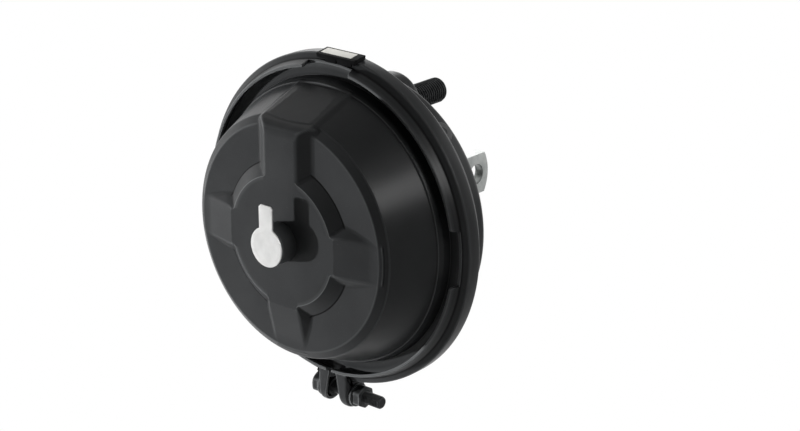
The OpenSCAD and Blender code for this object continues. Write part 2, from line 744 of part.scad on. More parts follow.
module fork_head() {
    half = fork_w / 2;
    corner = half * sqrt(2);
    neck_r = half - neck_in;
    shoulder_y = fork_y + neck_len;
    color(steel) difference() {
        intersection() {
            translate([-half, fork_y, -half]) cube([fork_w, tip_y - fork_y, fork_w]);
            turned([[0, fork_y], [neck_r - 1, fork_y], [neck_r, fork_y + 1], [neck_r, shoulder_y],
                [corner + 0.5, shoulder_y + corner - neck_r + 0.5], [corner + 0.5, tip_y], [0, tip_y]], 96);
            union() {
                translate([0, tip_y - fork_end_r, 0]) cross_bar(-fork_w, fork_w, fork_end_r);
                translate([-fork_w, fork_y - 1, -fork_w])
                    cube([2 * fork_w, tip_y - fork_end_r - fork_y + 1, 2 * fork_w]);
            }
        }
        translate([-slot_w / 2, slot_y, -half - 1]) cube([slot_w, tip_y - slot_y + 1, fork_w + 2]);
        translate([0, pin_y, 0]) cross_bar(-half - 1, half + 1, pin_d / 2);
        bar(fork_y - 1, slot_y + 1, rod_d / 2 + thread_gap);
    }
}

pressure_housing();
port_boss();
diaphragm();
clamp_band();
clamp_bolt();
clamp_spacers();
clamp_washer();
clamp_nut();
plate_holder();
data_plate();
non_pressure_housing();
vent_plugs();
stiffening_plate();
stud_upper();
stud_lower();
rod_guide();
dust_seal();
spring_seat();
return_spring();
push_plate();
plate_collar();
push_rod();
fork_lock_nut();
fork_head();
seal_disc();
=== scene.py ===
"""Air brake chamber, type 30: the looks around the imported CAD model.

The chamber's axis runs along Y: the cover faces -Y and the push rod comes out towards +Y. +Z is up.
Lengths in the functions below are in millimetres, and MM turns them to metres.
"""
import math

import bmesh
import bpy
import numpy as np
from mathutils import Matrix, Vector


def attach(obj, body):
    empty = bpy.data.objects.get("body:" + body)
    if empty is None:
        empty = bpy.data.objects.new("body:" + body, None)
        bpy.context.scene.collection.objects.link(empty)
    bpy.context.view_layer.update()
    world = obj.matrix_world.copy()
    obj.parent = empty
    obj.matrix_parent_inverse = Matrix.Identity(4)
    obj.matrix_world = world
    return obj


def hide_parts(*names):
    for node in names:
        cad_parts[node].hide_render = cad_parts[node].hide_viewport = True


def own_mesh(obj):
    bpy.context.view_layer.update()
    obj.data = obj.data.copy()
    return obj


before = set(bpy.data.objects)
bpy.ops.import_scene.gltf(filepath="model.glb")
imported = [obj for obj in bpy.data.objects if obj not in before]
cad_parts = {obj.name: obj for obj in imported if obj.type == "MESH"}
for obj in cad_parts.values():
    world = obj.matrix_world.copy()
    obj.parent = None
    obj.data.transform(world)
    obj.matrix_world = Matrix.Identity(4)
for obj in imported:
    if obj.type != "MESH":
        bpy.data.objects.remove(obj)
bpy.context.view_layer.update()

MM = 0.001


# Camera

CAMERA_AZIMUTH = math.radians(40.07)
CAMERA_HEIGHT = math.radians(20.17)
FOCAL_IN_WIDTHS = 2.5
SENSOR_MM = 36
RIM_FRONT = Vector((0, -66, 0)) * MM
RIM_OFFSET = (44.28, 4.72, 1209.8)


def add_camera():
    """The camera looks along -back, from a point set off from the rim's front along right, up and back."""
    sin_a, cos_a = math.sin(CAMERA_AZIMUTH), math.cos(CAMERA_AZIMUTH)
    sin_h, cos_h = math.sin(CAMERA_HEIGHT), math.cos(CAMERA_HEIGHT)
    right = Vector((cos_a, sin_a, 0))
    up = Vector((-sin_h * sin_a, sin_h * cos_a, cos_h))
    back = Vector((sin_a * cos_h, -cos_a * cos_h, sin_h))
    data = bpy.data.cameras.new("photo_camera")
    data.sensor_width = SENSOR_MM
    data.lens = SENSOR_MM * FOCAL_IN_WIDTHS
    data.clip_end = 20
    camera = bpy.data.objects.new("photo_camera", data)
    bpy.context.scene.collection.objects.link(camera)
    place = RIM_FRONT + (right * RIM_OFFSET[0] + up * RIM_OFFSET[1] + back * RIM_OFFSET[2]) * MM
    turn = Matrix((right, up, back)).transposed().to_4x4()
    camera.matrix_world = Matrix.Translation(place) @ turn
    bpy.context.scene.camera = camera


add_camera()


# Colours and nodes

def srgb(code):
    """An sRGB hex colour as linear RGBA."""
    parts = [int(code[i:i + 2], 16) / 255 for i in (1, 3, 5)]
    linear = [p / 12.92 if p <= 0.04045 else ((p + 0.055) / 1.055) ** 2.4 for p in parts]
    return (*linear, 1.0)


def add_node(tree, kind, links=(), sockets=(), stops=(), **settings):
    """A node of that kind, with its incoming links, sockets' values, ramp's stops and settings."""
    node = tree.nodes.new(kind)
    for name, value in settings.items():
        setattr(node, name, value)
    for socket, amount in dict(sockets).items():
        node.inputs[socket].default_value = amount
    for socket, source in dict(links).items():
        tree.links.new(source, node.inputs[socket])
    if stops:
        for element, (position, code) in zip(node.color_ramp.elements, stops):
            element.position = position
            element.color = srgb(code)
    return node


def new_material(name):
    """An empty node material and its Object coordinates, moved and turned so that no plane of the
    noise's own lattice lies along the object's axis planes, where it would show as a straight line."""
    material = bpy.data.materials.new(name)
    material.use_nodes = True
    tree = material.node_tree
    tree.nodes.clear()
    place = add_node(tree, "ShaderNodeTexCoord").outputs["Object"]
    moved = add_node(tree, "ShaderNodeMapping", {"Vector": place},
                     {"Location": (0.331, 0.417, 0.273), "Rotation": (0.41, 0.23, 0.57)})
    return material, tree, moved.outputs["Vector"]


def scale_of(size_mm):
    """The noise scale whose lumps are about size_mm across."""
    return 1 / (size_mm * MM)


def black_coat():
    """Cathodic dip paint on pressed steel: a thin even black that keeps the steel's faint waviness.
    The eye sees soft, wide highlights with a slight orange peel and a little grey where dust settles. The
    creases are painted near black as painted shade, and the raised edges are painted a lighter grey as a
    painted highlight."""
    material, tree, place = new_material("black_e_coat_on_pressed_steel")
    cloud = add_node(tree, "ShaderNodeTexNoise", {"Vector": place},
                     {"Scale": scale_of(38), "Detail": 4.0, "Roughness": 0.55})
    # Real orange peel is about 1 mm across. It is drawn at twice that, so that the picture can hold it.
    peel = add_node(tree, "ShaderNodeTexNoise", {"Vector": place}, {"Scale": scale_of(2.2), "Detail": 3.0})
    wave = add_node(tree, "ShaderNodeTexNoise", {"Vector": place}, {"Scale": scale_of(26), "Detail": 1.0})
    specks = add_node(tree, "ShaderNodeTexNoise", {"Vector": place}, {"Scale": scale_of(0.8), "Detail": 2.0})
    colour = add_node(tree, "ShaderNodeValToRGB", {"Fac": cloud.outputs["Fac"]},
                      stops=[(0.3, "#353637"), (0.7, "#3c3d3e")])
    dust = add_node(tree, "ShaderNodeMapRange", {"Value": specks.outputs["Fac"]},
                    {"From Min": 0.66, "From Max": 0.8, "To Max": 0.35})
    dusty = add_node(tree, "ShaderNodeMix", {"Factor": dust.outputs["Result"], "A": colour.outputs["Color"]},
                     {"B": srgb("#57585a")}, data_type="RGBA")
    bend = add_node(tree, "ShaderNodeAttribute", attribute_name="bend").outputs["Fac"]
    # Painted shade: where the surface bends inwards, in the creases, the colour is mixed towards near black.
    crease_painted_shade = add_node(tree, "ShaderNodeMapRange", {"Value": bend},
                        {"From Min": -0.04, "From Max": -0.22, "To Max": 0.95})
    with_painted_shade = add_node(tree, "ShaderNodeMix",
                      {"Factor": crease_painted_shade.outputs["Result"], "A": dusty.outputs["Result"]},
                      {"B": srgb("#070708")}, data_type="RGBA")
    # Painted highlight: where the surface bends outwards, on raised edges, the colour is mixed towards a
    # lighter grey.
    edge_painted_highlight = add_node(tree, "ShaderNodeMapRange", {"Value": bend},
                      {"From Min": 0.08, "From Max": 0.45, "To Max": 0.6})
    with_painted_highlight = add_node(tree, "ShaderNodeMix",
                     {"Factor": edge_painted_highlight.outputs["Result"], "A": with_painted_shade.outputs["Result"]},
                     {"B": srgb("#77797a")}, data_type="RGBA")
    rough = add_node(tree, "ShaderNodeMapRange", {"Value": cloud.outputs["Fac"]},
                     {"To Min": 0.27, "To Max": 0.34})
    waved = add_node(tree, "ShaderNodeBump", {"Height": wave.outputs["Fac"]},
                     {"Strength": 0.35, "Distance": 0.4 * MM})
    peeled = add_node(tree, "ShaderNodeBump",
                      {"Height": peel.outputs["Fac"], "Normal": waved.outputs["Normal"]},
                      {"Strength": 0.4, "Distance": 0.03 * MM})
    shader = add_node(tree, "ShaderNodeBsdfPrincipled",
                      {"Base Color": with_painted_highlight.outputs["Result"], "Roughness": rough.outputs["Result"],
                       "Normal": peeled.outputs["Normal"]}, {"Specular IOR Level": 0.06})
    add_node(tree, "ShaderNodeOutputMaterial", {"Surface": shader.outputs[0]})
    return material


def zinc_plate():
    """Zinc plating on turned and milled steel: pale grey metal with a fine cloudy bloom.
    The eye sees a soft metallic sheen, broken by faint blotches and fine tool marks."""
    material, tree, place = new_material("bright_zinc_plate_on_machined_steel")
    cloud = add_node(tree, "ShaderNodeTexNoise", {"Vector": place},
                     {"Scale": scale_of(9), "Detail": 4.0, "Roughness": 0.6})
    grain = add_node(tree, "ShaderNodeTexNoise", {"Vector": place}, {"Scale": scale_of(0.9), "Detail": 2.0})
    colour = add_node(tree, "ShaderNodeValToRGB", {"Fac": cloud.outputs["Fac"]},
                      stops=[(0.3, "#848786"), (0.7, "#a0a2a0")])
    rough = add_node(tree, "ShaderNodeMapRange", {"Value": grain.outputs["Fac"]},
                     {"To Min": 0.3, "To Max": 0.42})
    marks = add_node(tree, "ShaderNodeBump", {"Height": grain.outputs["Fac"]},
                     {"Strength": 0.4, "Distance": 0.02 * MM})
    shader = add_node(tree, "ShaderNodeBsdfPrincipled",
                      {"Base Color": colour.outputs["Color"], "Roughness": rough.outputs["Result"],
                       "Normal": marks.outputs["Normal"]}, {"Metallic": 1.0})
    add_node(tree, "ShaderNodeOutputMaterial", {"Surface": shader.outputs[0]})
    return material


def pressed_aluminium():
    """Pressed aluminium sheet with a satin mill finish, for the sealing disc.
    The eye sees a pale metal with a fine straight grain and soft, cloudy handling marks."""
    material, tree, place = new_material("satin_pressed_aluminium")
    # The rolled grain runs along the turned coordinates' own X, so they are squeezed along it. Its lines
    # are drawn at about 0.4 mm, which is coarser than the real 0.1 mm.
    along = add_node(tree, "ShaderNodeMapping", {"Vector": place}, {"Scale": (0.05, 1, 1)})
    grain = add_node(tree, "ShaderNodeTexNoise", {"Vector": along.outputs["Vector"]},
                     {"Scale": scale_of(0.4), "Detail": 3.0})
    cloud = add_node(tree, "ShaderNodeTexNoise", {"Vector": place}, {"Scale": scale_of(8), "Detail": 3.0})
    colour = add_node(tree, "ShaderNodeValToRGB", {"Fac": cloud.outputs["Fac"]},
                      stops=[(0.3, "#d3d3d2"), (0.7, "#e2e2e1")])
    rough = add_node(tree, "ShaderNodeMapRange", {"Value": cloud.outputs["Fac"]},
                     {"To Min": 0.42, "To Max": 0.55})
    marks = add_node(tree, "ShaderNodeBump", {"Height": grain.outputs["Fac"]},
                     {"Strength": 0.4, "Distance": 0.012 * MM})
    shader = add_node(tree, "ShaderNodeBsdfPrincipled",
                      {"Base Color": colour.outputs["Color"], "Roughness": rough.outputs["Result"],
                       "Normal": marks.outputs["Normal"]}, {"Metallic": 0.5})
    add_node(tree, "ShaderNodeOutputMaterial", {"Surface": shader.outputs[0]})
    return material


def label_stock():
    """Anodised aluminium label stock, left bare: a flat, even, nearly white metal foil.
    The eye sees a clean bright strip whose tone drifts a little from end to end."""
    material, tree, place = new_material("bare_anodised_aluminium_label_stock")
    drift = add_node(tree, "ShaderNodeTexNoise", {"Vector": place}, {"Scale": scale_of(18), "Detail": 1.0})
    pores = add_node(tree, "ShaderNodeTexNoise", {"Vector": place}, {"Scale": scale_of(0.5), "Detail": 2.0})
    colour = add_node(tree, "ShaderNodeValToRGB", {"Fac": drift.outputs["Fac"]},
                      stops=[(0.35, "#aeada8"), (0.65, "#c0bfbb")])
    marks = add_node(tree, "ShaderNodeBump", {"Height": pores.outputs["Fac"]},
                     {"Strength": 0.25, "Distance": 0.01 * MM})
    shader = add_node(tree, "ShaderNodeBsdfPrincipled",
                      {"Base Color": colour.outputs["Color"], "Normal": marks.outputs["Normal"]},
                      {"Metallic": 0.85, "Roughness": 0.5})
    add_node(tree, "ShaderNodeOutputMaterial", {"Surface": shader.outputs[0]})
    return material


def moulded_rubber():
    """Moulded nitrile rubber: matt near-black with a soft bloom and a fine mould grain.
    The eye sees a dull black that turns greyer at its edges."""
    material, tree, place = new_material("moulded_nitrile_rubber")
    cloud = add_node(tree, "ShaderNodeTexNoise", {"Vector": place}, {"Scale": scale_of(12), "Detail": 4.0})
    grain = add_node(tree, "ShaderNodeTexNoise", {"Vector": place}, {"Scale": scale_of(0.7), "Detail": 2.0})
    colour = add_node(tree, "ShaderNodeValToRGB", {"Fac": cloud.outputs["Fac"]},
                      stops=[(0.3, "#18191a"), (0.7, "#232425")])
    marks = add_node(tree, "ShaderNodeBump", {"Height": grain.outputs["Fac"]},
                     {"Strength": 0.5, "Distance": 0.03 * MM})
    shader = add_node(tree, "ShaderNodeBsdfPrincipled",
                      {"Base Color": colour.outputs["Color"], "Normal": marks.outputs["Normal"]},
                      {"Roughness": 0.72, "Sheen Weight": 0.08})
    add_node(tree, "ShaderNodeOutputMaterial", {"Surface": shader.outputs[0]})
    return material


def holder_plastic():
    """Moulded glass-filled nylon, for the label's holder: a deep matt black.
    The eye sees a darker, duller black than the paint's, with a fine mould grain."""
    material, tree, place = new_material("moulded_black_nylon")
    cloud = add_node(tree, "ShaderNodeTexNoise", {"Vector": place}, {"Scale": scale_of(6), "Detail": 3.0})
    grain = add_node(tree, "ShaderNodeTexNoise", {"Vector": place}, {"Scale": scale_of(0.6), "Detail": 2.0})
    colour = add_node(tree, "ShaderNodeValToRGB", {"Fac": cloud.outputs["Fac"]},
                      stops=[(0.3, "#0c0c0d"), (0.7, "#141415")])
    marks = add_node(tree, "ShaderNodeBump", {"Height": grain.outputs["Fac"]},
                     {"Strength": 0.4, "Distance": 0.02 * MM})
    shader = add_node(tree, "ShaderNodeBsdfPrincipled",
                      {"Base Color": colour.outputs["Color"], "Normal": marks.outputs["Normal"]},
                      {"Roughness": 0.65, "Specular IOR Level": 0.05})
    add_node(tree, "ShaderNodeOutputMaterial", {"Surface": shader.outputs[0]})
    return material


def guide_plastic():
    """Moulded acetal bush: an off-white, slightly waxy plastic.
    The eye sees a soft, even highlight with no grain."""
    material, tree, place = new_material("moulded_acetal_bush")
    cloud = add_node(tree, "ShaderNodeTexNoise", {"Vector": place}, {"Scale": scale_of(20), "Detail": 2.0})
    colour = add_node(tree, "ShaderNodeValToRGB", {"Fac": cloud.outputs["Fac"]},
                      stops=[(0.3, "#d3d1c6"), (0.7, "#dcdad0")])
    shader = add_node(tree, "ShaderNodeBsdfPrincipled", {"Base Color": colour.outputs["Color"]},
                      {"Roughness": 0.4, "Subsurface Weight": 0.1, "Subsurface Scale": 1.0 * MM})
    add_node(tree, "ShaderNodeOutputMaterial", {"Surface": shader.outputs[0]})
    return material


BLACK = black_coat()
ZINC = zinc_plate()
SEAL_METAL = pressed_aluminium()
PLATE_METAL = label_stock()
RUBBER = moulded_rubber()
PLASTIC = guide_plastic()
NYLON = holder_plastic()

NODE_MATERIALS = {
    "diaphragm": RUBBER, "dust_seal": RUBBER, "vent_plugs": RUBBER, "rod_guide": PLASTIC,
    "return_spring": ZINC, "push_plate": ZINC, "plate_collar": ZINC, "push_rod": ZINC,
    "fork_lock_nut": ZINC, "fork_head": ZINC,
    "seal_disc": SEAL_METAL, "data_plate": PLATE_METAL, "plate_holder": NYLON,
}


def dress(piece, material):
    """Gives the piece one material in every slot."""
    if not piece.data.materials:
        piece.data.materials.append(material)
    for slot in piece.material_slots:
        slot.material = material


for node_name, node_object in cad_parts.items():
    dress(node_object, NODE_MATERIALS.get(node_name, BLACK))


# Sizes that the new pieces share with the CAD model, in mm

RIM_Y, HUB_Y, PAD_Y = -54.0, -106.3, -100.2
FRONT_RIM, FRONT_FLANGE, REAR_RIM, REAR_FLANGE = -56.0, -58.6, -52.0, -49.4
CONE_Y, BEAD_Y = -63.8, -67.4
CONE_R, PAD_R, BEAD_RISE = 89.2, 74.6, 0.9
BEAD_R = PAD_R + (CONE_R - BEAD_RISE - PAD_R) * (BEAD_Y - PAD_Y) / (CONE_Y - PAD_Y)
COVER_FOOT_R, BOWL_FOOT_R = CONE_R + 0.9, 89.5
FLANGE_R, BAND_R, LIP_R = 100.0, 104.5, 96.2
HUB_R, HUB_FOOT_R, HUB_RISE = 40.1, 48.3, PAD_Y - HUB_Y
PORT_R, BOSS_R, BOSS_NECK_R, BOSS_HOLE_R = 7.2, 12.3, 9.5, 9.6
BOSS_FRONT, BOSS_BACK = -117.8, -102.0
DISC_FRONT, DISC_BACK = -119.4, -118.1
TAB_END, TAB_HALF, TAB_CUT = 26.0, 5.2, 1.4
BOLT_Z, BAND_GAP, EAR_W, EAR_R, EAR_HOLE_R = -114.2, 4.6, 10.2, 9.0, 4.3
WEB_X = BAND_GAP / 2 + EAR_W
BOLT_R, BOLT_END, BOLT_FLATS, WASHER_R, WASHER_T = 4.0, 33.4, 13.0, 7.8, 1.6
STUD_Z, STUD_R, STUD_NECK_R, STUD_END = 60.325, 8.0, 8.4, 40.0
ROD_R, ROD_START, ROD_END, ROD_HOLE_R = 8.0, -90.8, 33.0, 12.2
LOCK_NUT_FLATS, LOCK_NUT_START, LOCK_NUT_END = 24.0, 7.7, 15.7
SPRING_START, SPRING_END, SPRING_SEAT_Y = -88.0, -11.1, -8.6
COIL_START_R, COIL_END_R, COIL_TURNS, WIRE_R = 20.0, 43.0, 4.5, 2.5
HOLDER_X, HOLDER_L, HOLDER_TILT = 4.8, 30.2, 9.4
VENT_Y = -33.0

BODY_OF = {"push_rod": "push_rod", "fork_head": "fork", "fork_lock_nut": "push_rod", "seal_disc": "seal"}


# Surfaces

def unit(v):
    """v / |v|, for one vector or for an array of them along the last axis."""
    return v / np.linalg.norm(v, axis=-1, keepdims=True)


def rounded(path, steps=6):
    """A path of (a, b) or (a, b, radius) points, each with a radius turned into an arc that touches both
    sides: its centre is here + unit(u + v) r / sin(half), where u and v point along the sides."""
    out = []
    for i, (a, b, *radius) in enumerate(path):
        here = np.array((a, b), float)
        if not radius:
            out.append(here)
            continue
        u = unit(np.array(path[i - 1][:2], float) - here)
        v = unit(np.array(path[i + 1][:2], float) - here)
        half = math.acos(float(u @ v)) / 2
        centre = here + unit(u + v) * radius[0] / math.sin(half)
        for k in np.linspace(0, 1, steps + 1):
            chord = here + (u * (1 - k) + v * k) * radius[0] / math.tan(half)
            out.append(centre + unit(chord - centre) * radius[0])
    return np.array(out)


def filled(path, step):
    """The path with points put in so that none lie more than step apart."""
    out = [path[:1]]
    for a, b in zip(path[:-1], path[1:]):
        count = max(1, math.ceil(np.linalg.norm(b - a) / step))
        out.append(a + (b - a) * (np.arange(1, count + 1) / count)[:, None])
    return np.concatenate(out)


def about_y(r, y, angle, z=0.0):
    """Points (r sin angle, y, z + r cos angle): a profile turned about a line along Y."""
    r, y, angle = np.broadcast_arrays(r, y, angle)
    return np.stack([r * np.sin(angle), y, z + r * np.cos(angle)], axis=-1)


def turned(path, angle, z=0.0):
    """A path of (r, y) turned about a line along Y."""
    return about_y(path[:, 0][:, None], path[:, 1][:, None], angle, z)


def stacked(rows, like):
    """Rows of (r, y), each a number or an array, as two grids whose rows are as long as like."""
    return [np.concatenate([value + 0 * like for value in column]) for column in zip(*rows)]


def about_bolt(r, x, angle):
    """Points (x, RIM_Y + r sin angle, BOLT_Z + r cos angle): a profile turned about the clamp bolt."""
    r, x, angle = np.broadcast_arrays(r, x, angle)
    return np.stack([x, RIM_Y + r * np.sin(angle), BOLT_Z + r * np.cos(angle)], axis=-1)


def around(columns):
    """Angles of a full turn, as one row."""
    return np.linspace(0, 2 * math.pi, columns, endpoint=False)[None, :]


def shade_by_slope(mesh, form, count):
    """Sets the normals of the mesh's first count corners to the slope of form, (f(p + h) - f(p - h)) / 2h
    along each axis, so that a narrow fillet looks smooth on a coarser grid."""
    places = np.empty(len(mesh.vertices) * 3, np.float32)
    mesh.vertices.foreach_get("co", places)
    places = places.reshape(-1, 3) / MM
    steps = 0.05 * np.eye(3)
    slope = unit(np.stack([form(places + h) - form(places - h) for h in steps], axis=-1) + 1e-12)
    used = np.empty(len(mesh.loops), np.int32)
    mesh.loops.foreach_get("vertex_index", used)
    normals = np.empty(len(mesh.loops) * 3, np.float32)
    mesh.corner_normals.foreach_get("vector", normals)
    normals = normals.reshape(-1, 3)
    normals[:count] = slope[used[:count]]
    mesh.normals_split_custom_set(normals.tolist())


def mark_bends(mesh):
    """Stores how sharply the surface turns at each point, in 1/mm: the mean over its edges of
    (n_j - n_i) . (p_j - p_i) / |p_j - p_i|^2. It is above 0 on raised edges and below 0 in creases."""
    count = len(mesh.vertices)
    place, normal = np.empty(count * 3), np.empty(count * 3)
    mesh.vertices.foreach_get("co", place)
    mesh.vertices.foreach_get("normal", normal)
    place, normal = place.reshape(-1, 3) / MM, normal.reshape(-1, 3)
    ends = np.empty(len(mesh.edges) * 2, int)
    mesh.edges.foreach_get("vertices", ends)
    i, j = ends[::2], ends[1::2]
    along = place[j] - place[i]
    turn = ((normal[j] - normal[i]) * along).sum(axis=1) / np.maximum((along ** 2).sum(axis=1), 0.01)
    total = np.bincount(i, turn, count) + np.bincount(j, turn, count)
    number = np.bincount(ends, minlength=count)
    bend = mesh.attributes.new("bend", "FLOAT", "POINT")
    bend.data.foreach_set("value", (total / np.maximum(number, 1)).astype(np.float32))


def add_piece(name, grids, material, node, closed_rows=False, sharp=38.0, form=None, form_rows=0):
    """A smooth piece from grids of points in mm, whose columns join up into a ring.
    Rows that meet at a pole, and first and last rows that coincide, become one.
    The first form_rows rows of faces are shaded by the slope of form, the distance they were cast from."""
    bm = bmesh.new()
    for points in grids:
        rows, columns = points.shape[:2]
        verts = [bm.verts.new(p) for p in (points.reshape(-1, 3) * MM).tolist()]
        for i in range(rows if closed_rows else rows - 1):
            a, b = i * columns, (i + 1) % rows * columns
            for j in range(columns):
                k = (j + 1) % columns
                bm.faces.new((verts[a + j], verts[a + k], verts[b + k], verts[b + j]))
    bmesh.ops.remove_doubles(bm, verts=bm.verts, dist=0.0005 * MM)
    bmesh.ops.recalc_face_normals(bm, faces=bm.faces)
    mesh = bpy.data.meshes.new(name)
    bm.to_mesh(mesh)
    bm.free()
    mesh.polygons.foreach_set("use_smooth", np.ones(len(mesh.polygons), bool))
    mesh.set_sharp_from_angle(angle=math.radians(sharp))
    mark_bends(mesh)
    if form:
        shade_by_slope(mesh, form, form_rows * grids[0].shape[1] * 4)
    piece = bpy.data.objects.new(name, mesh)
    bpy.context.scene.collection.objects.link(piece)
    dress(piece, material)
    body = BODY_OF.get(node, "chamber")
    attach(piece, body)
    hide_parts(node)
    return piece


# Pressed housings

def joined(a, b, r):
    """Where two forms join, with a hollow fillet: max(min(a, b), r) - |max(r - (a, b), 0)|.
    a and b are distances in mm, negative inside."""
    return np.maximum(np.minimum(a, b), r) - np.hypot(np.maximum(r - a, 0), np.maximum(r - b, 0))


def shared(a, b, r):
    """What two forms share, with the edge between them rounded: min(max(a, b), -r) + |max((a, b) + r, 0)|."""
    return -joined(-a, -b, r)


class Turned:
    """The distance to a turned profile y = h(r), negative behind it, looked up in a table 0.25 mm apart."""

    def __init__(self, path, low, high, ahead):
        """ahead is -1 where the outside lies towards -Y, and 1 where it lies towards +Y."""
        self.low, self.step = np.array(low, float), 0.25
        shape = ((np.array(high) - low) / self.step).astype(int) + 2
        r = self.low[0] + np.arange(shape[0])[:, None] * self.step
        y = self.low[1] + np.arange(shape[1])[None, :] * self.step
        best = np.full(shape, 1e9)
        for a, b in zip(path[:-1], path[1:]):
            d = b - a
            t = np.clip(((r - a[0]) * d[0] + (y - a[1]) * d[1]) / max(float(d @ d), 1e-12), 0, 1)
            best = np.minimum(best, np.hypot(r - a[0] - t * d[0], y - a[1] - t * d[1]))
        order = np.argsort(path[:, 0], kind="stable")
        height = np.interp(r, path[order, 0], path[order, 1])
        self.table = best * np.sign((y - height) * ahead + 1e-9)

    def __call__(self, r, y):
        """The distance at r and y, by straight interpolation between the table's four nearest points."""
        i = np.clip((r - self.low[0]) / self.step, 0, self.table.shape[0] - 1.001)
        j = np.clip((y - self.low[1]) / self.step, 0, self.table.shape[1] - 1.001)
        i0, j0 = i.astype(int), j.astype(int)
        u, v = i - i0, j - j0
        t = self.table
        return ((t[i0, j0] * (1 - v) + t[i0, j0 + 1] * v) * (1 - u)
                + (t[i0 + 1, j0] * (1 - v) + t[i0 + 1, j0 + 1] * v) * u)


def crowded(columns, middles, halves):
    """Angles of a full turn, as one row, twice as close together within halves degrees of the middles."""
    fine = np.linspace(0, 360, 7201)
    away = [np.abs(np.mod(fine - m + 180, 360) - 180) - h for m, h in zip(middles, halves)]
    density = 1 + (np.min(away, axis=0) < 0)
    total = np.concatenate([[0], np.cumsum((density[1:] + density[:-1]) / 2)])
    return np.radians(np.interp(np.arange(columns) / columns * total[-1], total, fine))[None, :]


def cast(form, path, centre_y, angle, reach=(0.6, 1.45)):
    """A grid of the points where rays from (0, centre_y, 0) leave a form. Row i's rays run towards
    path[i], turned about Y to each column's angle. The stretch between near and far, in shares of the ray,
    is halved 22 times towards the place where the form's distance is 0."""
    ray_r, ray_y = path[:, 0][:, None], (path[:, 1] - centre_y)[:, None]
    near = np.full((len(path), angle.size), reach[0])
    far = np.full((len(path), angle.size), reach[1])
    for _ in range(22):
        t = (near + far) / 2
        inside = form(about_y(ray_r * t, centre_y + ray_y * t, angle)) < 0
        near, far = np.where(inside, t, near), np.where(inside, far, t)
    t = (near + far) / 2
    return about_y(ray_r * t, centre_y + ray_y * t, angle)


# The shoulder is two soft creases with a strip between them, which lies along the CAD model's arc.
SHOULDER = 3.8
CONE_TURN = math.atan2(BEAD_R - PAD_R, BEAD_Y - PAD_Y)
COVER_PATH = rounded([
    (0, HUB_Y), (HUB_R, HUB_Y, 1.2), (HUB_FOOT_R, PAD_Y, 1.2), (PAD_R - SHOULDER, PAD_Y, 2.5),
    (PAD_R + SHOULDER * math.sin(CONE_TURN), PAD_Y + SHOULDER * math.cos(CONE_TURN), 2.5),
    (BEAD_R, BEAD_Y, 0.5), (BEAD_R + BEAD_RISE, BEAD_Y + 0.5, 1.0), (CONE_R, CONE_Y, 1.5),
    (COVER_FOOT_R, FRONT_FLANGE)], 8)
COVER_TURNED = Turned(COVER_PATH, (0, -112), (100, -50), -1)

# The tall rib: heights, half widths from its middle plane, and how its planes lean
RIB_TURN, RIB_END, RIB_FOOT = 70.2, 85.8, 20.0
RIB_HALF, FACET_HALF, RIB_SIDE_HALF, BEVEL_HALF = 12.5, 24.5, 27.0, 20.5
RIB_SPREAD = 8.5 / 6.1
BEVEL = math.radians(47)
FACET_SLOPE = (RIB_END - RIB_TURN) / (BEAD_Y - HUB_Y)
FACET_COS = 1 / math.hypot(1, FACET_SLOPE)
# The strip's plane is the sum of the hub face's and the facet's, over about the length of the sum's normal.
STRIP_NORMAL, STRIP_CUT = 1.658, 1.24

# The ramps: distances out from the axis, half widths, and the cosines of how their planes lean
RAMP_ROOT, RAMP_START, RAMP_END = 25.0, 41.1, 67.0
RAMP_HALF, RAMP_FOOT_HALF = 12.0, 18.0
RAMP_TOP_COS, RAMP_SIDE_COS = 0.973, 0.713


def facet_plane(y, z):
    """The distance to the facet's plane, which leans back from the hub face at the height RIB_TURN."""
    return (z - RIB_TURN - FACET_SLOPE * (y - HUB_Y)) * FACET_COS


def rib(x, y, z):
    """The tall rib: what the hub face's plane, the facet's plane, two sides that spread 8.5 in 6.1 and
    two bevels of 47 degrees share, with rounded edges and a strip across the turn."""
    side = np.abs(x)
    facet = facet_plane(y, z)
    slant = (side - RIB_HALF - RIB_SPREAD * (y - HUB_Y)) / math.hypot(1, RIB_SPREAD)
    roof = facet * math.cos(BEVEL) + (side - BEVEL_HALF) * math.sin(BEVEL)
    back = np.maximum(y - (BEAD_Y + 1.2), RIB_FOOT - z)
    strip = (HUB_Y - y + facet) / STRIP_NORMAL + STRIP_CUT
    form = shared(shared(HUB_Y - y, strip, 2), facet, 2)
    form = shared(form, slant, 0.9)
    form = shared(form, roof, 1.0)
    return np.maximum(shared(form, side - RIB_SIDE_HALF, 1.0), back)


def ramp(across, y, out):
    """A ramp from the hub face down to the pads: its sloped top, its two spreading sides and the sides
    that close towards its end, each a plane."""
    side = np.abs(across)
    top = (HUB_Y + (out - RAMP_START) * HUB_RISE / (RAMP_END - RAMP_START) - y) * RAMP_TOP_COS
    slant = (side - RAMP_HALF - (RAMP_FOOT_HALF - RAMP_HALF) / HUB_RISE * (y - HUB_Y)) * RAMP_SIDE_COS
    a = np.array((RAMP_HALF, HUB_Y, RAMP_START))
    b = np.array((RAMP_FOOT_HALF, PAD_Y, HUB_FOOT_R))
    c = np.array((RAMP_HALF, PAD_Y, RAMP_END))
    n = unit(np.cross(b - a, c - a))
    n *= np.sign(n[0])
    closing = (side - a[0]) * n[0] + (y - a[1]) * n[1] + (out - a[2]) * n[2]
    form = shared(np.maximum(HUB_Y - y, top), slant, 0.8)
    return np.maximum(shared(form, closing, 0.8), np.maximum(RAMP_ROOT - out, y - PAD_Y - 1))


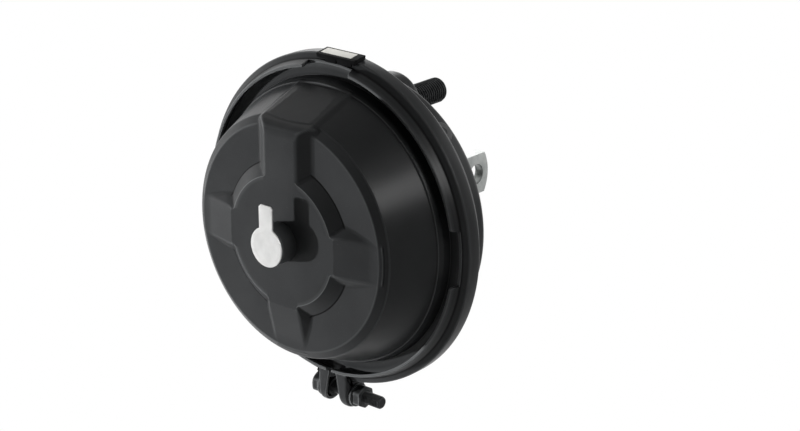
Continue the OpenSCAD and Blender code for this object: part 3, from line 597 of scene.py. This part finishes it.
def cover_form(p):
    """The cover's outside: the turned profile with the facet's flat cut off it, joined by soft pressed
    creases to the tall rib and the three ramps. All of it ends at the hub face's plane."""
    x, y, z = p[..., 0], p[..., 1], p[..., 2]
    flat = np.minimum(np.minimum(facet_plane(y, z), FACET_HALF - np.abs(x)), BEAD_Y + 0.25 - y)
    body = np.maximum(COVER_TURNED(np.hypot(x, z), y), flat)
    form = joined(body, rib(x, y, z), 1.0)
    for across, out in ((z, -x), (z, x), (x, -z)):
        form = joined(form, ramp(across, y, out), 0.9)
    return np.maximum(form, HUB_Y - y)


def add_cover():
    """The pressed cover: its outside is cast from the axis, its flange and the hollow behind it are turned.
    The flat hub face inside plain_r has wider rows than the rest."""
    plain_r, centre_y = 36.0, -50.0
    start = filled(np.array([(BOSS_HOLE_R, HUB_Y), (plain_r, HUB_Y)]), 2.2)
    skin = np.concatenate([start, filled(COVER_PATH[1:], 0.5)[1:]])
    angle = crowded(400, [0, 90, 180, 270], [24, 19, 19, 19])
    outside = cast(cover_form, skin, centre_y, angle)
    inside = rounded([(COVER_FOOT_R, FRONT_FLANGE), (FLANGE_R, FRONT_FLANGE, 0.6), (FLANGE_R, FRONT_RIM),
                      (85.2, FRONT_RIM), (82.5, -66), (70.6, -96, 6), (BOSS_HOLE_R, -96),
                      (BOSS_HOLE_R, HUB_Y)], 3)
    add_piece("pressed_cover", [np.concatenate([outside, turned(inside, angle)])], BLACK, "pressure_housing",
              form=cover_form, form_rows=len(skin) - 1)


add_cover()


BOWL_PATH = rounded([(9, 0), (64, 0, 8), (87, -23, 5), (88, REAR_FLANGE + 2, 2),
                     (BOWL_FOOT_R, REAR_FLANGE)], 6)
BOWL_TURNED = Turned(BOWL_PATH, (0, -55), (100, 6), 1)
LOBE_R, LOBE_START = 21.0, -22.0


def bowl_form(p):
    """The rear housing's outside: the turned profile joined to a round lobe about each stud."""
    x, y, z = p[..., 0], p[..., 1], p[..., 2]
    form = BOWL_TURNED(np.hypot(x, z), y)
    for s in (-1, 1):
        lobe = shared(np.hypot(x, z - s * STUD_Z) - LOBE_R, y, 2.2)
        form = joined(form, np.maximum(lobe, LOBE_START - y), 2.5)
    return form


def add_rear_housing():
    """The rear housing: its outside is cast from the axis, its flange and the hollow in it are turned."""
    angle, sheet = around(360), 2.8
    skin = filled(np.concatenate([[(ROD_HOLE_R, 0.0)], BOWL_PATH[1:]]), 0.9)
    outside = cast(bowl_form, skin, RIM_Y, angle)
    inside = rounded([(BOWL_FOOT_R, REAR_FLANGE), (FLANGE_R, REAR_FLANGE, 0.6), (FLANGE_R, REAR_RIM),
                      (85, REAR_RIM), (83.6, -25, 4), (61, -sheet, 4), (ROD_HOLE_R, -sheet),
                      (ROD_HOLE_R, 0)], 3)
    add_piece("pressed_rear_housing", [np.concatenate([outside, turned(inside, angle)])], BLACK,
              "non_pressure_housing")


add_rear_housing()


# Clamp band and its ears

def band_section(front_lip):
    """The band's section as (r, distance behind the rim): a flat outside, a strip and a lip on each side,
    with rolled creases and rounded lip ends. front_lip is the share of the front lip that is left."""
    back_r, strip_r, lip_wall = 102.4, 98.2, 1.9
    lip_start, lip_end = 6.9, 12.0

    def half(s, length):
        """Half of it: its inside from the middle to the lip's end, then its outside back to the middle."""
        end = lip_start + (lip_end - lip_start) * length
        tip = end + 0.5 * length
        inner = strip_r - (strip_r - LIP_R) * length
        return rounded([(back_r, 0), (back_r, s * 3.2, 0.8), (100.5, s * 4.6, 0.6), (strip_r, s * 4.7, 0.8),
                        (strip_r, s * 6.7, 0.6), (inner, s * end, 0.35), (inner + lip_wall, s * tip, 0.9),
                        (100.2, s * 6.6, 1.6), (BAND_R, s * 4.6, 1.5), (BAND_R, 0)], 4)

    front = half(-1, front_lip)
    rear = half(1, 1.0)
    return np.concatenate([front, rear[::-1][1:-1]])


def ear_outline():
    """An ear's closed outline about the bolt, as (y, z): half a circle of 9 below, straight sides, and a
    top that follows the band's outside 0.8 inside it."""
    arc = np.radians(np.linspace(-90, 90, 33))
    bottom = np.stack([EAR_R * np.sin(arc), BOLT_Z - EAR_R * np.cos(arc)], axis=1)
    side = np.array([(EAR_R, -98.6), (6.6, -99.4), (4.6, 0.8 - BAND_R)])
    outline = np.concatenate([bottom, side, side[::-1] * (-1, 1)])
    return filled(np.concatenate([outline, outline[:1]]), 1.0)[:-1]


def offset(outline, by):
    """A closed outline moved inwards by a distance along its normals."""
    along = unit(np.roll(outline, -1, axis=0) - np.roll(outline, 1, axis=0))
    inward = np.stack([-along[:, 1], along[:, 0]], axis=1)
    return outline + inward * by


def ear_grid(s):
    """One ear: its outline is carried from its open edge to the web, round the bend and in to the bolt's
    hole, and back the same way 2.1 inside. s is -1 for the left ear and 1 for the right one."""
    outline = ear_outline()
    flare = math.tan(math.radians(11))
    edge = BAND_GAP / 2 + np.maximum(-outline[:, 1] - FLANGE_R, 0) * flare + 0.3
    angle = np.arctan2(outline[:, 0], outline[:, 1] - BOLT_Z)
    hole = np.stack([EAR_HOLE_R * np.sin(angle), BOLT_Z + EAR_HOLE_R * np.cos(angle)], axis=1)
    bend, wall = 3.0, 2.1
    rows = []

    def row(x, flat):
        """Adds a flat outline as a ring at x, on the ear's own side."""
        rows.append(np.stack([s * np.broadcast_to(x, len(flat)), RIM_Y + flat[:, 0], flat[:, 1]], axis=1))

    row(edge + 0.5, offset(outline, 0.15))
    row(edge + 0.9, outline)
    for share in (0.35, 0.7):
        row(edge + (WEB_X - bend - edge) * share, outline)
    for turn in np.radians(np.linspace(0, 90, 9)):
        row(WEB_X - bend * (1 - math.sin(turn)), offset(outline, bend * (1 - math.cos(turn))))
    for share in (0.25, 0.5, 0.75, 1.0):
        row(WEB_X, offset(outline, bend) * (1 - share) + hole * share)
    for share in (1.0, 0.75, 0.5, 0.25):
        row(WEB_X - wall, offset(outline, bend) * (1 - share) + hole * share)
    for turn in np.radians(np.linspace(90, 0, 5)):
        row(WEB_X - bend + (bend - wall) * math.sin(turn),
            offset(outline, bend - (bend - wall) * math.cos(turn)))
    row(edge + 0.5, offset(outline, wall))
    row(edge, offset(outline, wall - 0.5))
    row(edge, offset(outline, 0.5))
    row(edge + 0.15, offset(outline, 0.15))
    return np.array(rows)


def add_band():
    """The clamp band: its section carried round the rim from one ear to the other. The front lip is cut
    back over 21 degrees at the top, left and right, with eased corners."""
    half_gap = math.asin(BAND_GAP / 2 / BAND_R)
    stops = [math.pi + half_gap, 3 * math.pi - half_gap]
    middles = (3 * math.pi / 2, 2 * math.pi, 5 * math.pi / 2)
    notch, ease, lip_left = math.radians(10.5), math.radians(0.55), 0.04
    angles = set(np.linspace(*stops, 500).tolist())
    for middle in middles:
        for s in (-1, 1):
            angles |= set((middle + s * (notch + np.linspace(-ease, ease, 9))).tolist())
    angles = np.array(sorted(angles))
    rings = []
    for a in angles:
        away = min(abs(a - m) for m in middles)
        u = min(max((away - notch + ease) / (2 * ease), 0), 1)
        share = lip_left + (1 - lip_left) * math.sqrt(max(u * (2 - u), 0))
        section = band_section(share)
        rings.append(about_y(section[:, 0], RIM_Y + section[:, 1], a))
    rings = [np.broadcast_to(rings[0].mean(axis=0), rings[0].shape)] + rings
    rings.append(np.broadcast_to(rings[-1].mean(axis=0), rings[-1].shape))
    add_piece("clamp_band_pressed", [np.array(rings)], BLACK, "clamp_band", sharp=50)
    add_piece("clamp_band_ears", [ear_grid(-1), ear_grid(1)], BLACK, "clamp_band",
              closed_rows=True, sharp=50)


add_band()


# Bolt, nuts, studs and rod

def thread(along, angle, pitch, start, end):
    """A share from 0 at a thread's crests to 1 at its roots: 1.3 |2 frac(along / pitch - angle / 2 pi) - 1|
    - 0.15, kept within 0 and 1 so that both are flat, and faded in and out over one pitch at each end."""
    wave = np.abs(2 * np.mod(along / pitch - angle / (2 * math.pi), 1) - 1)
    fade = np.clip(np.minimum(along - start, end - along) / pitch, 0, 1)
    return np.clip(wave * 1.3 - 0.15, 0, 1) * fade


def threaded(path, pitch, depth, start, end, columns=48):
    """The radius and place along the axis of a turned bar whose thread is cut into the profile."""
    path = filled(path, pitch / 7)
    angle = around(columns)
    r = path[:, 0][:, None] - depth * thread(path[:, 1][:, None], angle, pitch, start, end)
    r = np.maximum(r, 0) * (path[:, 0][:, None] > 1e-6)
    return r, path[:, 1][:, None], angle


def hexagon(flats, low, high, bore, face, corners=(True, True)):
    """A hexagon with chamfered ends: R(a) = flats / 2 / cos(a mod 60 - 30), cut at each chamfered end by
    a cone that falls 0.577 for each 1 outside a circle of radius face. bore is the radius of its hole."""
    chamfer, flat_ease, corner_ease, mouth = 0.577, 0.15, 0.25, 0.4
    angle = around(72)
    turn = np.mod(np.degrees(angle), 60) - 30
    radius = flats / 2 / np.cos(np.radians(turn))
    radius = radius - corner_ease * np.clip((np.abs(turn) - 26) / 4, 0, 1)
    drop = chamfer * np.maximum(radius - face, 0)
    first, last = [drop if cut else flat_ease for cut in corners]
    rows = [(bore, low + mouth), (bore + mouth, low), (face, low), (radius, low + first)]
    rows += [(radius, low + (high - low) * share) for share in (0.3, 0.5, 0.7)]
    rows += [(radius, high - last), (face, high), (bore + mouth, high), (bore, high - mouth)]
    return *stacked(rows, radius), angle


def add_bolt_set():
    """The clamp bolt with its collared head and its nut and washer, all black."""
    outer = WEB_X + WASHER_T
    shank = rounded([(0, -WEB_X - 1), (BOLT_R, -WEB_X - 1), (BOLT_R, BOLT_END, 1.0), (0, BOLT_END)], 3)
    collar = rounded([(0, -WEB_X), (WASHER_R, -WEB_X, 0.3), (WASHER_R, -outer, 0.6), (5.5, -outer),
                      (0, -outer)], 3)
    r, x, angle = threaded(shank, pitch=1.25, depth=0.75, start=outer, end=BOLT_END)
    grids = [about_bolt(r, x, angle), about_bolt(collar[:, 0][:, None], collar[:, 1][:, None], around(48))]
    r, x, angle = hexagon(BOLT_FLATS, -WEB_X - 7.0, -outer, bore=0.0, face=6.1, corners=(True, False))
    # The head has no hole, so the rows of the hole's mouth give way to a flat end on each side.
    r, x = r[2:9], x[2:9]
    r, x = np.concatenate([0 * r[:1], r, 0 * r[:1]]), np.concatenate([x[:1], x, x[-1:]])
    grids.append(about_bolt(r, x, angle))
    add_piece("clamp_bolt_threaded", grids, BLACK, "clamp_bolt")
    bore = BOLT_R + 0.1
    washer = rounded([(bore, WEB_X), (WASHER_R, WEB_X, 0.3), (WASHER_R, outer, 0.5), (bore, outer),
                      (bore, WEB_X)], 3)
    add_piece("clamp_washer_eased", [about_bolt(washer[:, 0][:, None], washer[:, 1][:, None], around(64))],
              BLACK, "clamp_washer")
    r, x, angle = hexagon(BOLT_FLATS, outer, WEB_X + 7.8, bore, face=6.2)
    nut = about_bolt(r, x, angle)
    add_piece("clamp_nut_chamfered", [np.concatenate([nut, nut[:1]])], BLACK, "clamp_nut")


def add_studs():
    """The two mounting studs: a flat head, a plain neck, a cut thread and a rounded end."""
    head_r, head_start, head_end = 12.4, -9.8, -6.8
    for name, s in (("stud_upper", 1), ("stud_lower", -1)):
        path = rounded([(0, head_start), (head_r, head_start, 0.8), (head_r, head_end, 0.5),
                        (STUD_NECK_R, head_end), (STUD_NECK_R, 0.4, 0.3), (STUD_R, 0.8),
                        (STUD_R, STUD_END, 1.6), (0, STUD_END)], 4)
        r, y, angle = threaded(path, pitch=2.0, depth=1.15, start=1.0, end=39.6, columns=60)
        add_piece(name + "_threaded", [about_y(r, y, angle, s * STUD_Z)], BLACK, name)


def add_rod():
    """The push rod, a plain bar whose thread is cut from plain_end to its tip, and its chamfered lock nut."""
    plain_end = 4.0
    start = filled(np.array([(0, ROD_START), (ROD_R, ROD_START)]), 4)
    plain = filled(np.array([(ROD_R, ROD_START), (ROD_R, plain_end)]), 6)[1:]
    tip = rounded([(ROD_R, plain_end), (ROD_R, ROD_END, 1.2), (0, ROD_END)], 4)
    r, y, angle = threaded(tip, pitch=1.5, depth=0.9, start=plain_end + 1, end=ROD_END, columns=60)
    rows = turned(np.concatenate([start, plain[:-1]]), angle)
    add_piece("push_rod_threaded", [np.concatenate([rows, about_y(r, y, angle)])], ZINC, "push_rod")
    r, y, angle = hexagon(LOCK_NUT_FLATS, LOCK_NUT_START, LOCK_NUT_END, bore=ROD_R + 0.05, face=11.6)
    nut = about_y(r, y, angle)
    add_piece("lock_nut_chamfered", [np.concatenate([nut, nut[:1]])], ZINC, "fork_lock_nut")


def add_fork():
    """The fork head with its edges broken: the CAD node's own faces, merged, with each edge that turns by
    more than 30 degrees rounded over 0.7."""
    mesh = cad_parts["fork_head"].data.copy()
    mesh.name = "fork_head_eased"
    bm = bmesh.new()
    bm.from_mesh(mesh)
    bmesh.ops.remove_doubles(bm, verts=bm.verts, dist=0.001 * MM)
    bmesh.ops.dissolve_limit(bm, angle_limit=math.radians(0.5), verts=bm.verts, edges=bm.edges)
    bm.to_mesh(mesh)
    bm.free()
    mesh.polygons.foreach_set("use_smooth", np.ones(len(mesh.polygons), bool))
    fork = bpy.data.objects.new("fork_head_eased", mesh)
    bpy.context.scene.collection.objects.link(fork)
    edge = fork.modifiers.new("edge", "BEVEL")
    edge.width = 0.7 * MM
    edge.segments = 3
    edge.limit_method = "ANGLE"
    edge.angle_limit = math.radians(30)
    edge.harden_normals = True
    dress(fork, ZINC)
    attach(fork, "fork")
    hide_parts("fork_head")


add_bolt_set()
add_studs()
add_rod()
add_fork()


# Port, sealing disc, label and small parts

def add_port_boss():
    """The boss of the air port, with an eased mouth and a plain bore, of which only the last cut_end at
    the inner end has a trace of thread."""
    mouth, cut_end, depth = BOSS_FRONT + 0.8, 0.5, 0.8
    path = rounded([(PORT_R, mouth), (PORT_R + 0.7, BOSS_FRONT, 0.2), (BOSS_R, BOSS_FRONT, 1.0),
                    (BOSS_R, HUB_Y), (BOSS_NECK_R, HUB_Y), (BOSS_NECK_R, BOSS_BACK), (PORT_R, BOSS_BACK)], 4)
    bore = filled(np.array([(PORT_R, BOSS_BACK), (PORT_R, mouth)]), 0.22)
    angle = around(64)
    cut = PORT_R + depth * thread(bore[:, 1][:, None], angle, pitch=1.4, start=BOSS_BACK - cut_end,
                                  end=BOSS_BACK + 15)
    inner = about_y(cut, bore[:, 1][:, None], angle)
    add_piece("port_boss_tapped", [np.concatenate([turned(path, angle), inner])], BLACK, "port_boss")


def add_seal_disc():
    """The sealing disc and its tab: the outline's radius from the axis is the larger of the disc's 12.3 and
    the tab's, min(5.2 / |sin|, 26 / cos, its cut corners). Both faces and the rounded edge are set in from
    that radius, and a plain ring, 0.12 exp(-((r - 9.9) / 0.45)^2) high, stands on the front."""
    ring_r, ring_w, ring_h, ease = 9.9, 0.45, 0.12, 0.35
    turns = np.concatenate([np.linspace(-28, 28, 113), np.linspace(28, 332, 153)[1:-1]])
    a = np.radians(turns)[None, :]
    sine, cosine = np.abs(np.sin(a)), np.cos(a)
    ahead = cosine > 0.5
    end = np.where(ahead, TAB_END / np.maximum(cosine, 0.5), 0)
    cut = np.where(ahead, (TAB_HALF + TAB_END - TAB_CUT) / np.maximum(sine + cosine, 0.5), 0)
    tab = np.minimum(np.minimum(TAB_HALF / np.maximum(sine, 1e-6), end), cut)
    edge = np.maximum(BOSS_R, tab)
    face = DISC_FRONT + ring_h
    rows = [(0, DISC_BACK), (edge - ease, DISC_BACK)]
    for turn in np.radians(np.linspace(0, 90, 4)):
        rows.append((edge - ease * (1 - math.sin(turn)), DISC_BACK - ease * (1 - math.cos(turn))))
    for turn in np.radians(np.linspace(90, 0, 4)):
        rows.append((edge - ease * (1 - math.sin(turn)), face + ease * (1 - math.cos(turn))))
    for r in (11.2, 10.6, 10.2, 9.8, 9.4, 9.0, 8.4):
        rows.append((r, face - ring_h * math.exp(-((r - ring_r) / ring_w) ** 2)))
    rows.append((0, face))
    r, y = stacked(rows, edge)
    add_piece("seal_disc_pressed", [about_y(r, y, a)], SEAL_METAL, "seal_disc")


def soft_block(size, radius, steps=5):
    """A block of that size whose edges and corners are rounded: corner + radius n, where n runs over the
    sphere and corner is the nearest corner of the block less the radius, at the origin."""
    half = np.array(size) / 2 - radius
    up = np.radians(np.concatenate([np.linspace(-90, 0, steps + 1), np.linspace(0, 90, steps + 1)]))
    turn = np.radians(np.concatenate([np.linspace(q, q + 90, steps + 1) for q in (0, 90, 180, 270)]))
    side_z = np.repeat([-1.0, 1.0], steps + 1)
    side_x = np.repeat([1.0, -1.0, -1.0, 1.0], steps + 1)
    side_y = np.repeat([1.0, 1.0, -1.0, -1.0], steps + 1)
    u, t = up[:, None], turn[None, :]
    x = side_x[None, :] * half[0] + radius * np.cos(u) * np.cos(t)
    y = side_y[None, :] * half[1] + radius * np.cos(u) * np.sin(t)
    z = side_z[:, None] * half[2] + radius * np.sin(u) + 0 * t
    grid = np.stack([x, y, z], axis=-1)
    low, high = grid[:1].copy(), grid[-1:].copy()
    low[..., :2], high[..., :2] = 0, 0
    return np.concatenate([low, grid, high])


def tipped(grid, angle, place):
    """The grid turned about X by angle degrees, then moved to a place."""
    c, s = math.cos(math.radians(angle)), math.sin(math.radians(angle))
    y = grid[..., 1] * c - grid[..., 2] * s
    z = grid[..., 1] * s + grid[..., 2] * c
    return np.stack([grid[..., 0] + place[0], y + place[1], z + place[2]], axis=-1)


def holder_top(y):
    """Height of the holder's sloped top at y."""
    return BAND_R + 0.7 + (y - RIM_Y) * math.tan(math.radians(HOLDER_TILT))


def add_label():
    """The black holder, a sloped block with two front tabs and a rim of four bars, and its bare plate."""
    block_y, tab_y, tab_z, plate_x, plate_y = -57.0, -61.75, 101.7, 3.0, -56.35
    block = soft_block((HOLDER_L, 10.2, 2.4), 0.5)
    grids = [tipped(block, HOLDER_TILT, (HOLDER_X, block_y, holder_top(block_y) - 1.22))]
    # Each tab's two ends are shares of the holder's half length.
    for low, high in ((-0.54, 0.04), (0.09, 0.83)):
        tab = soft_block(((high - low) * HOLDER_L / 2, 0.9, 3.6), 0.3)
        grids.append(tipped(tab, 0, (HOLDER_X + (low + high) / 2 * HOLDER_L / 2, tab_y, tab_z)))
    for x, y, length, width in ((HOLDER_X, -60.9, HOLDER_L, 2.4), (HOLDER_X, -52.5, HOLDER_L, 0.9),
                                (-9.6, -56.9, 1.4, 9.0), (17.4, -56.9, 5.0, 9.0)):
        bar = soft_block((length, width, 1.1), 0.25)
        grids.append(tipped(bar, HOLDER_TILT, (x, y, holder_top(y) - 0.2)))
    add_piece("label_holder_soft", grids, NYLON, "plate_holder")
    plate = soft_block((23.8, 6.9, 0.5), 0.12)
    plate = tipped(plate, HOLDER_TILT, (plate_x, plate_y, holder_top(plate_y) + 0.02))
    add_piece("label_plate_bare", [plate], PLATE_METAL, "data_plate")


def add_small_parts():
    """The dust seal's lip and the vent plugs, turned with soft edges."""
    lip_r = 8.35
    path = rounded([(lip_r, 0), (15, 0, 0.3), (15, 1.7, 0.8), (12.2, 2.4, 0.8), (10, 5.3, 0.5), (lip_r, 5.5),
                    (lip_r, 0)], 4)
    add_piece("dust_seal_lip", [turned(path, around(72))], RUBBER, "dust_seal")
    stem_r, head_r, start, seat, end = 4.0, 6.5, 82.6, 88.4, 90.0
    plug = rounded([(0, start), (stem_r, start, 0.4), (stem_r, seat), (head_r, seat, 0.3),
                    (head_r, end, 1.0), (2.6, end, 0.3), (2.2, end - 0.5, 0.3), (0, end - 0.5)], 4)
    a = around(40)
    grids = []
    for clock in np.radians((45, 135, 225, 315)):
        across, along = plug[:, 0][:, None] * np.cos(a), plug[:, 0][:, None] * np.sin(a)
        out = plug[:, 1][:, None] + 0 * a
        grids.append(np.stack([out * math.sin(clock) + across * math.cos(clock), VENT_Y + along,
                               out * math.cos(clock) - across * math.sin(clock)], axis=-1))
    add_piece("vent_plugs_soft", grids, RUBBER, "vent_plugs")


def add_spring():
    """The conical return spring: a ring of 2.5 carried along a helix of 4.5 turns whose radius grows from
    20 to 43, with tapered wire ends."""
    share = np.linspace(0, 1, 325)[:, None]
    turn = 2 * math.pi * COIL_TURNS * share
    coil = COIL_START_R + (COIL_END_R - COIL_START_R) * share
    taper = np.clip(np.minimum(share, 1 - share) / 0.012, 0, 1) ** 0.5
    wire = WIRE_R * np.maximum(taper, 1e-4)
    ring = around(14)
    r = coil + wire * np.cos(ring)
    y = SPRING_START + (SPRING_END - SPRING_START) * share + wire * np.sin(ring)
    spring = add_piece("return_spring_wound", [about_y(r, y, turn)], ZINC, "return_spring")
    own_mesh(spring)


add_port_boss()
add_seal_disc()
add_spring()
add_label()
add_small_parts()


# Light and backdrop

CHAMBER_MIDDLE = Vector((0, -60, 0)) * MM


def seen_white(tree, soft, white):
    """White where the camera looks past the object, and where metal or glass mirrors or bends light.
    Everything else gets the soft shader."""
    path = add_node(tree, "ShaderNodeLightPath")
    mirrored = add_node(tree, "ShaderNodeMath", {0: path.outputs["Is Glossy Ray"],
                                                 1: path.outputs["Is Transmission Ray"]}, operation="MAXIMUM")
    seen = add_node(tree, "ShaderNodeMath", {0: path.outputs["Is Camera Ray"], 1: mirrored.outputs[0]},
                    operation="MAXIMUM")
    return add_node(tree, "ShaderNodeMixShader",
                    {0: seen.outputs[0], 1: soft.outputs[0], 2: white.outputs[0]})


def add_world():
    """A dim even surround for the object, and plain white behind it."""
    world = bpy.data.worlds.new("studio")
    bpy.context.scene.world = world
    world.use_nodes = True
    tree = world.node_tree
    tree.nodes.clear()
    soft = add_node(tree, "ShaderNodeBackground", sockets={"Color": srgb("#ffffff"), "Strength": 0.02})
    white = add_node(tree, "ShaderNodeBackground", sockets={"Color": srgb("#ffffff"), "Strength": 1.0})
    add_node(tree, "ShaderNodeOutputWorld", {"Surface": seen_white(tree, soft, white).outputs[0]})


def add_light(name, towards, distance, size, power, mirrored=True, lights=True):
    """A soft box that shines at the chamber from the direction of towards. Unless mirrored, gloss doesn't
    show the lamp itself. A lamp that only draws a highlight doesn't light the colours."""
    data = bpy.data.lights.new(name, "AREA")
    data.shape = "SQUARE"
    data.size = size
    data.energy = power
    lamp = bpy.data.objects.new(name, data)
    lamp.visible_glossy = mirrored
    lamp.visible_diffuse = lights
    bpy.context.scene.collection.objects.link(lamp)
    direction = Vector(towards).normalized()
    lamp.location = CHAMBER_MIDDLE + direction * distance
    lamp.rotation_euler = direction.to_track_quat("Z", "Y").to_euler()


def add_floor():
    """A pale floor well below the chamber, which hangs by its studs: white to the camera and in mirrors."""
    material, tree, _ = new_material("pale_studio_floor")
    paint = add_node(tree, "ShaderNodeBsdfDiffuse", sockets={"Color": srgb("#e9e9e9")})
    white = add_node(tree, "ShaderNodeEmission", sockets={"Color": srgb("#ffffff"), "Strength": 1.0})
    add_node(tree, "ShaderNodeOutputMaterial", {"Surface": seen_white(tree, paint, white).outputs[0]})
    mesh = bpy.data.meshes.new("floor")
    half, level = 6.0, -0.62
    mesh.from_pydata([(-half, -half, level), (half, -half, level), (half, half, level), (-half, half, level)],
                     [], [(0, 1, 2, 3)])
    mesh.materials.append(material)
    floor = bpy.data.objects.new("floor", mesh)
    bpy.context.scene.collection.objects.link(floor)


add_world()
add_light("key_low_left", (-0.76, -0.6, -0.19), 1.4, 0.05, 25, mirrored=False)
add_light("left_box", (-0.93, -0.25, -0.05), 2.0, 1.2, 7)
add_light("high_left_box", (-0.85, 0.2, 0.45), 2.0, 1.0, 8)
add_light("top_box", (-0.2, 0.1, 1), 1.6, 1.0, 1)
add_light("right_strip", (0.87, 0.02, 0.52), 1.8, 0.55, 22, lights=False)
add_light("high_right_box", (0.72, 0.0, 0.7), 1.8, 0.8, 5)
add_light("rear_box", (0.35, 0.9, 0.3), 2.0, 1.2, 12)
add_light("rear_glint", (-0.6, 0.72, 0.34), 1.4, 0.6, 3, lights=False)
add_floor()

bpy.context.scene.view_settings.view_transform = "Standard"
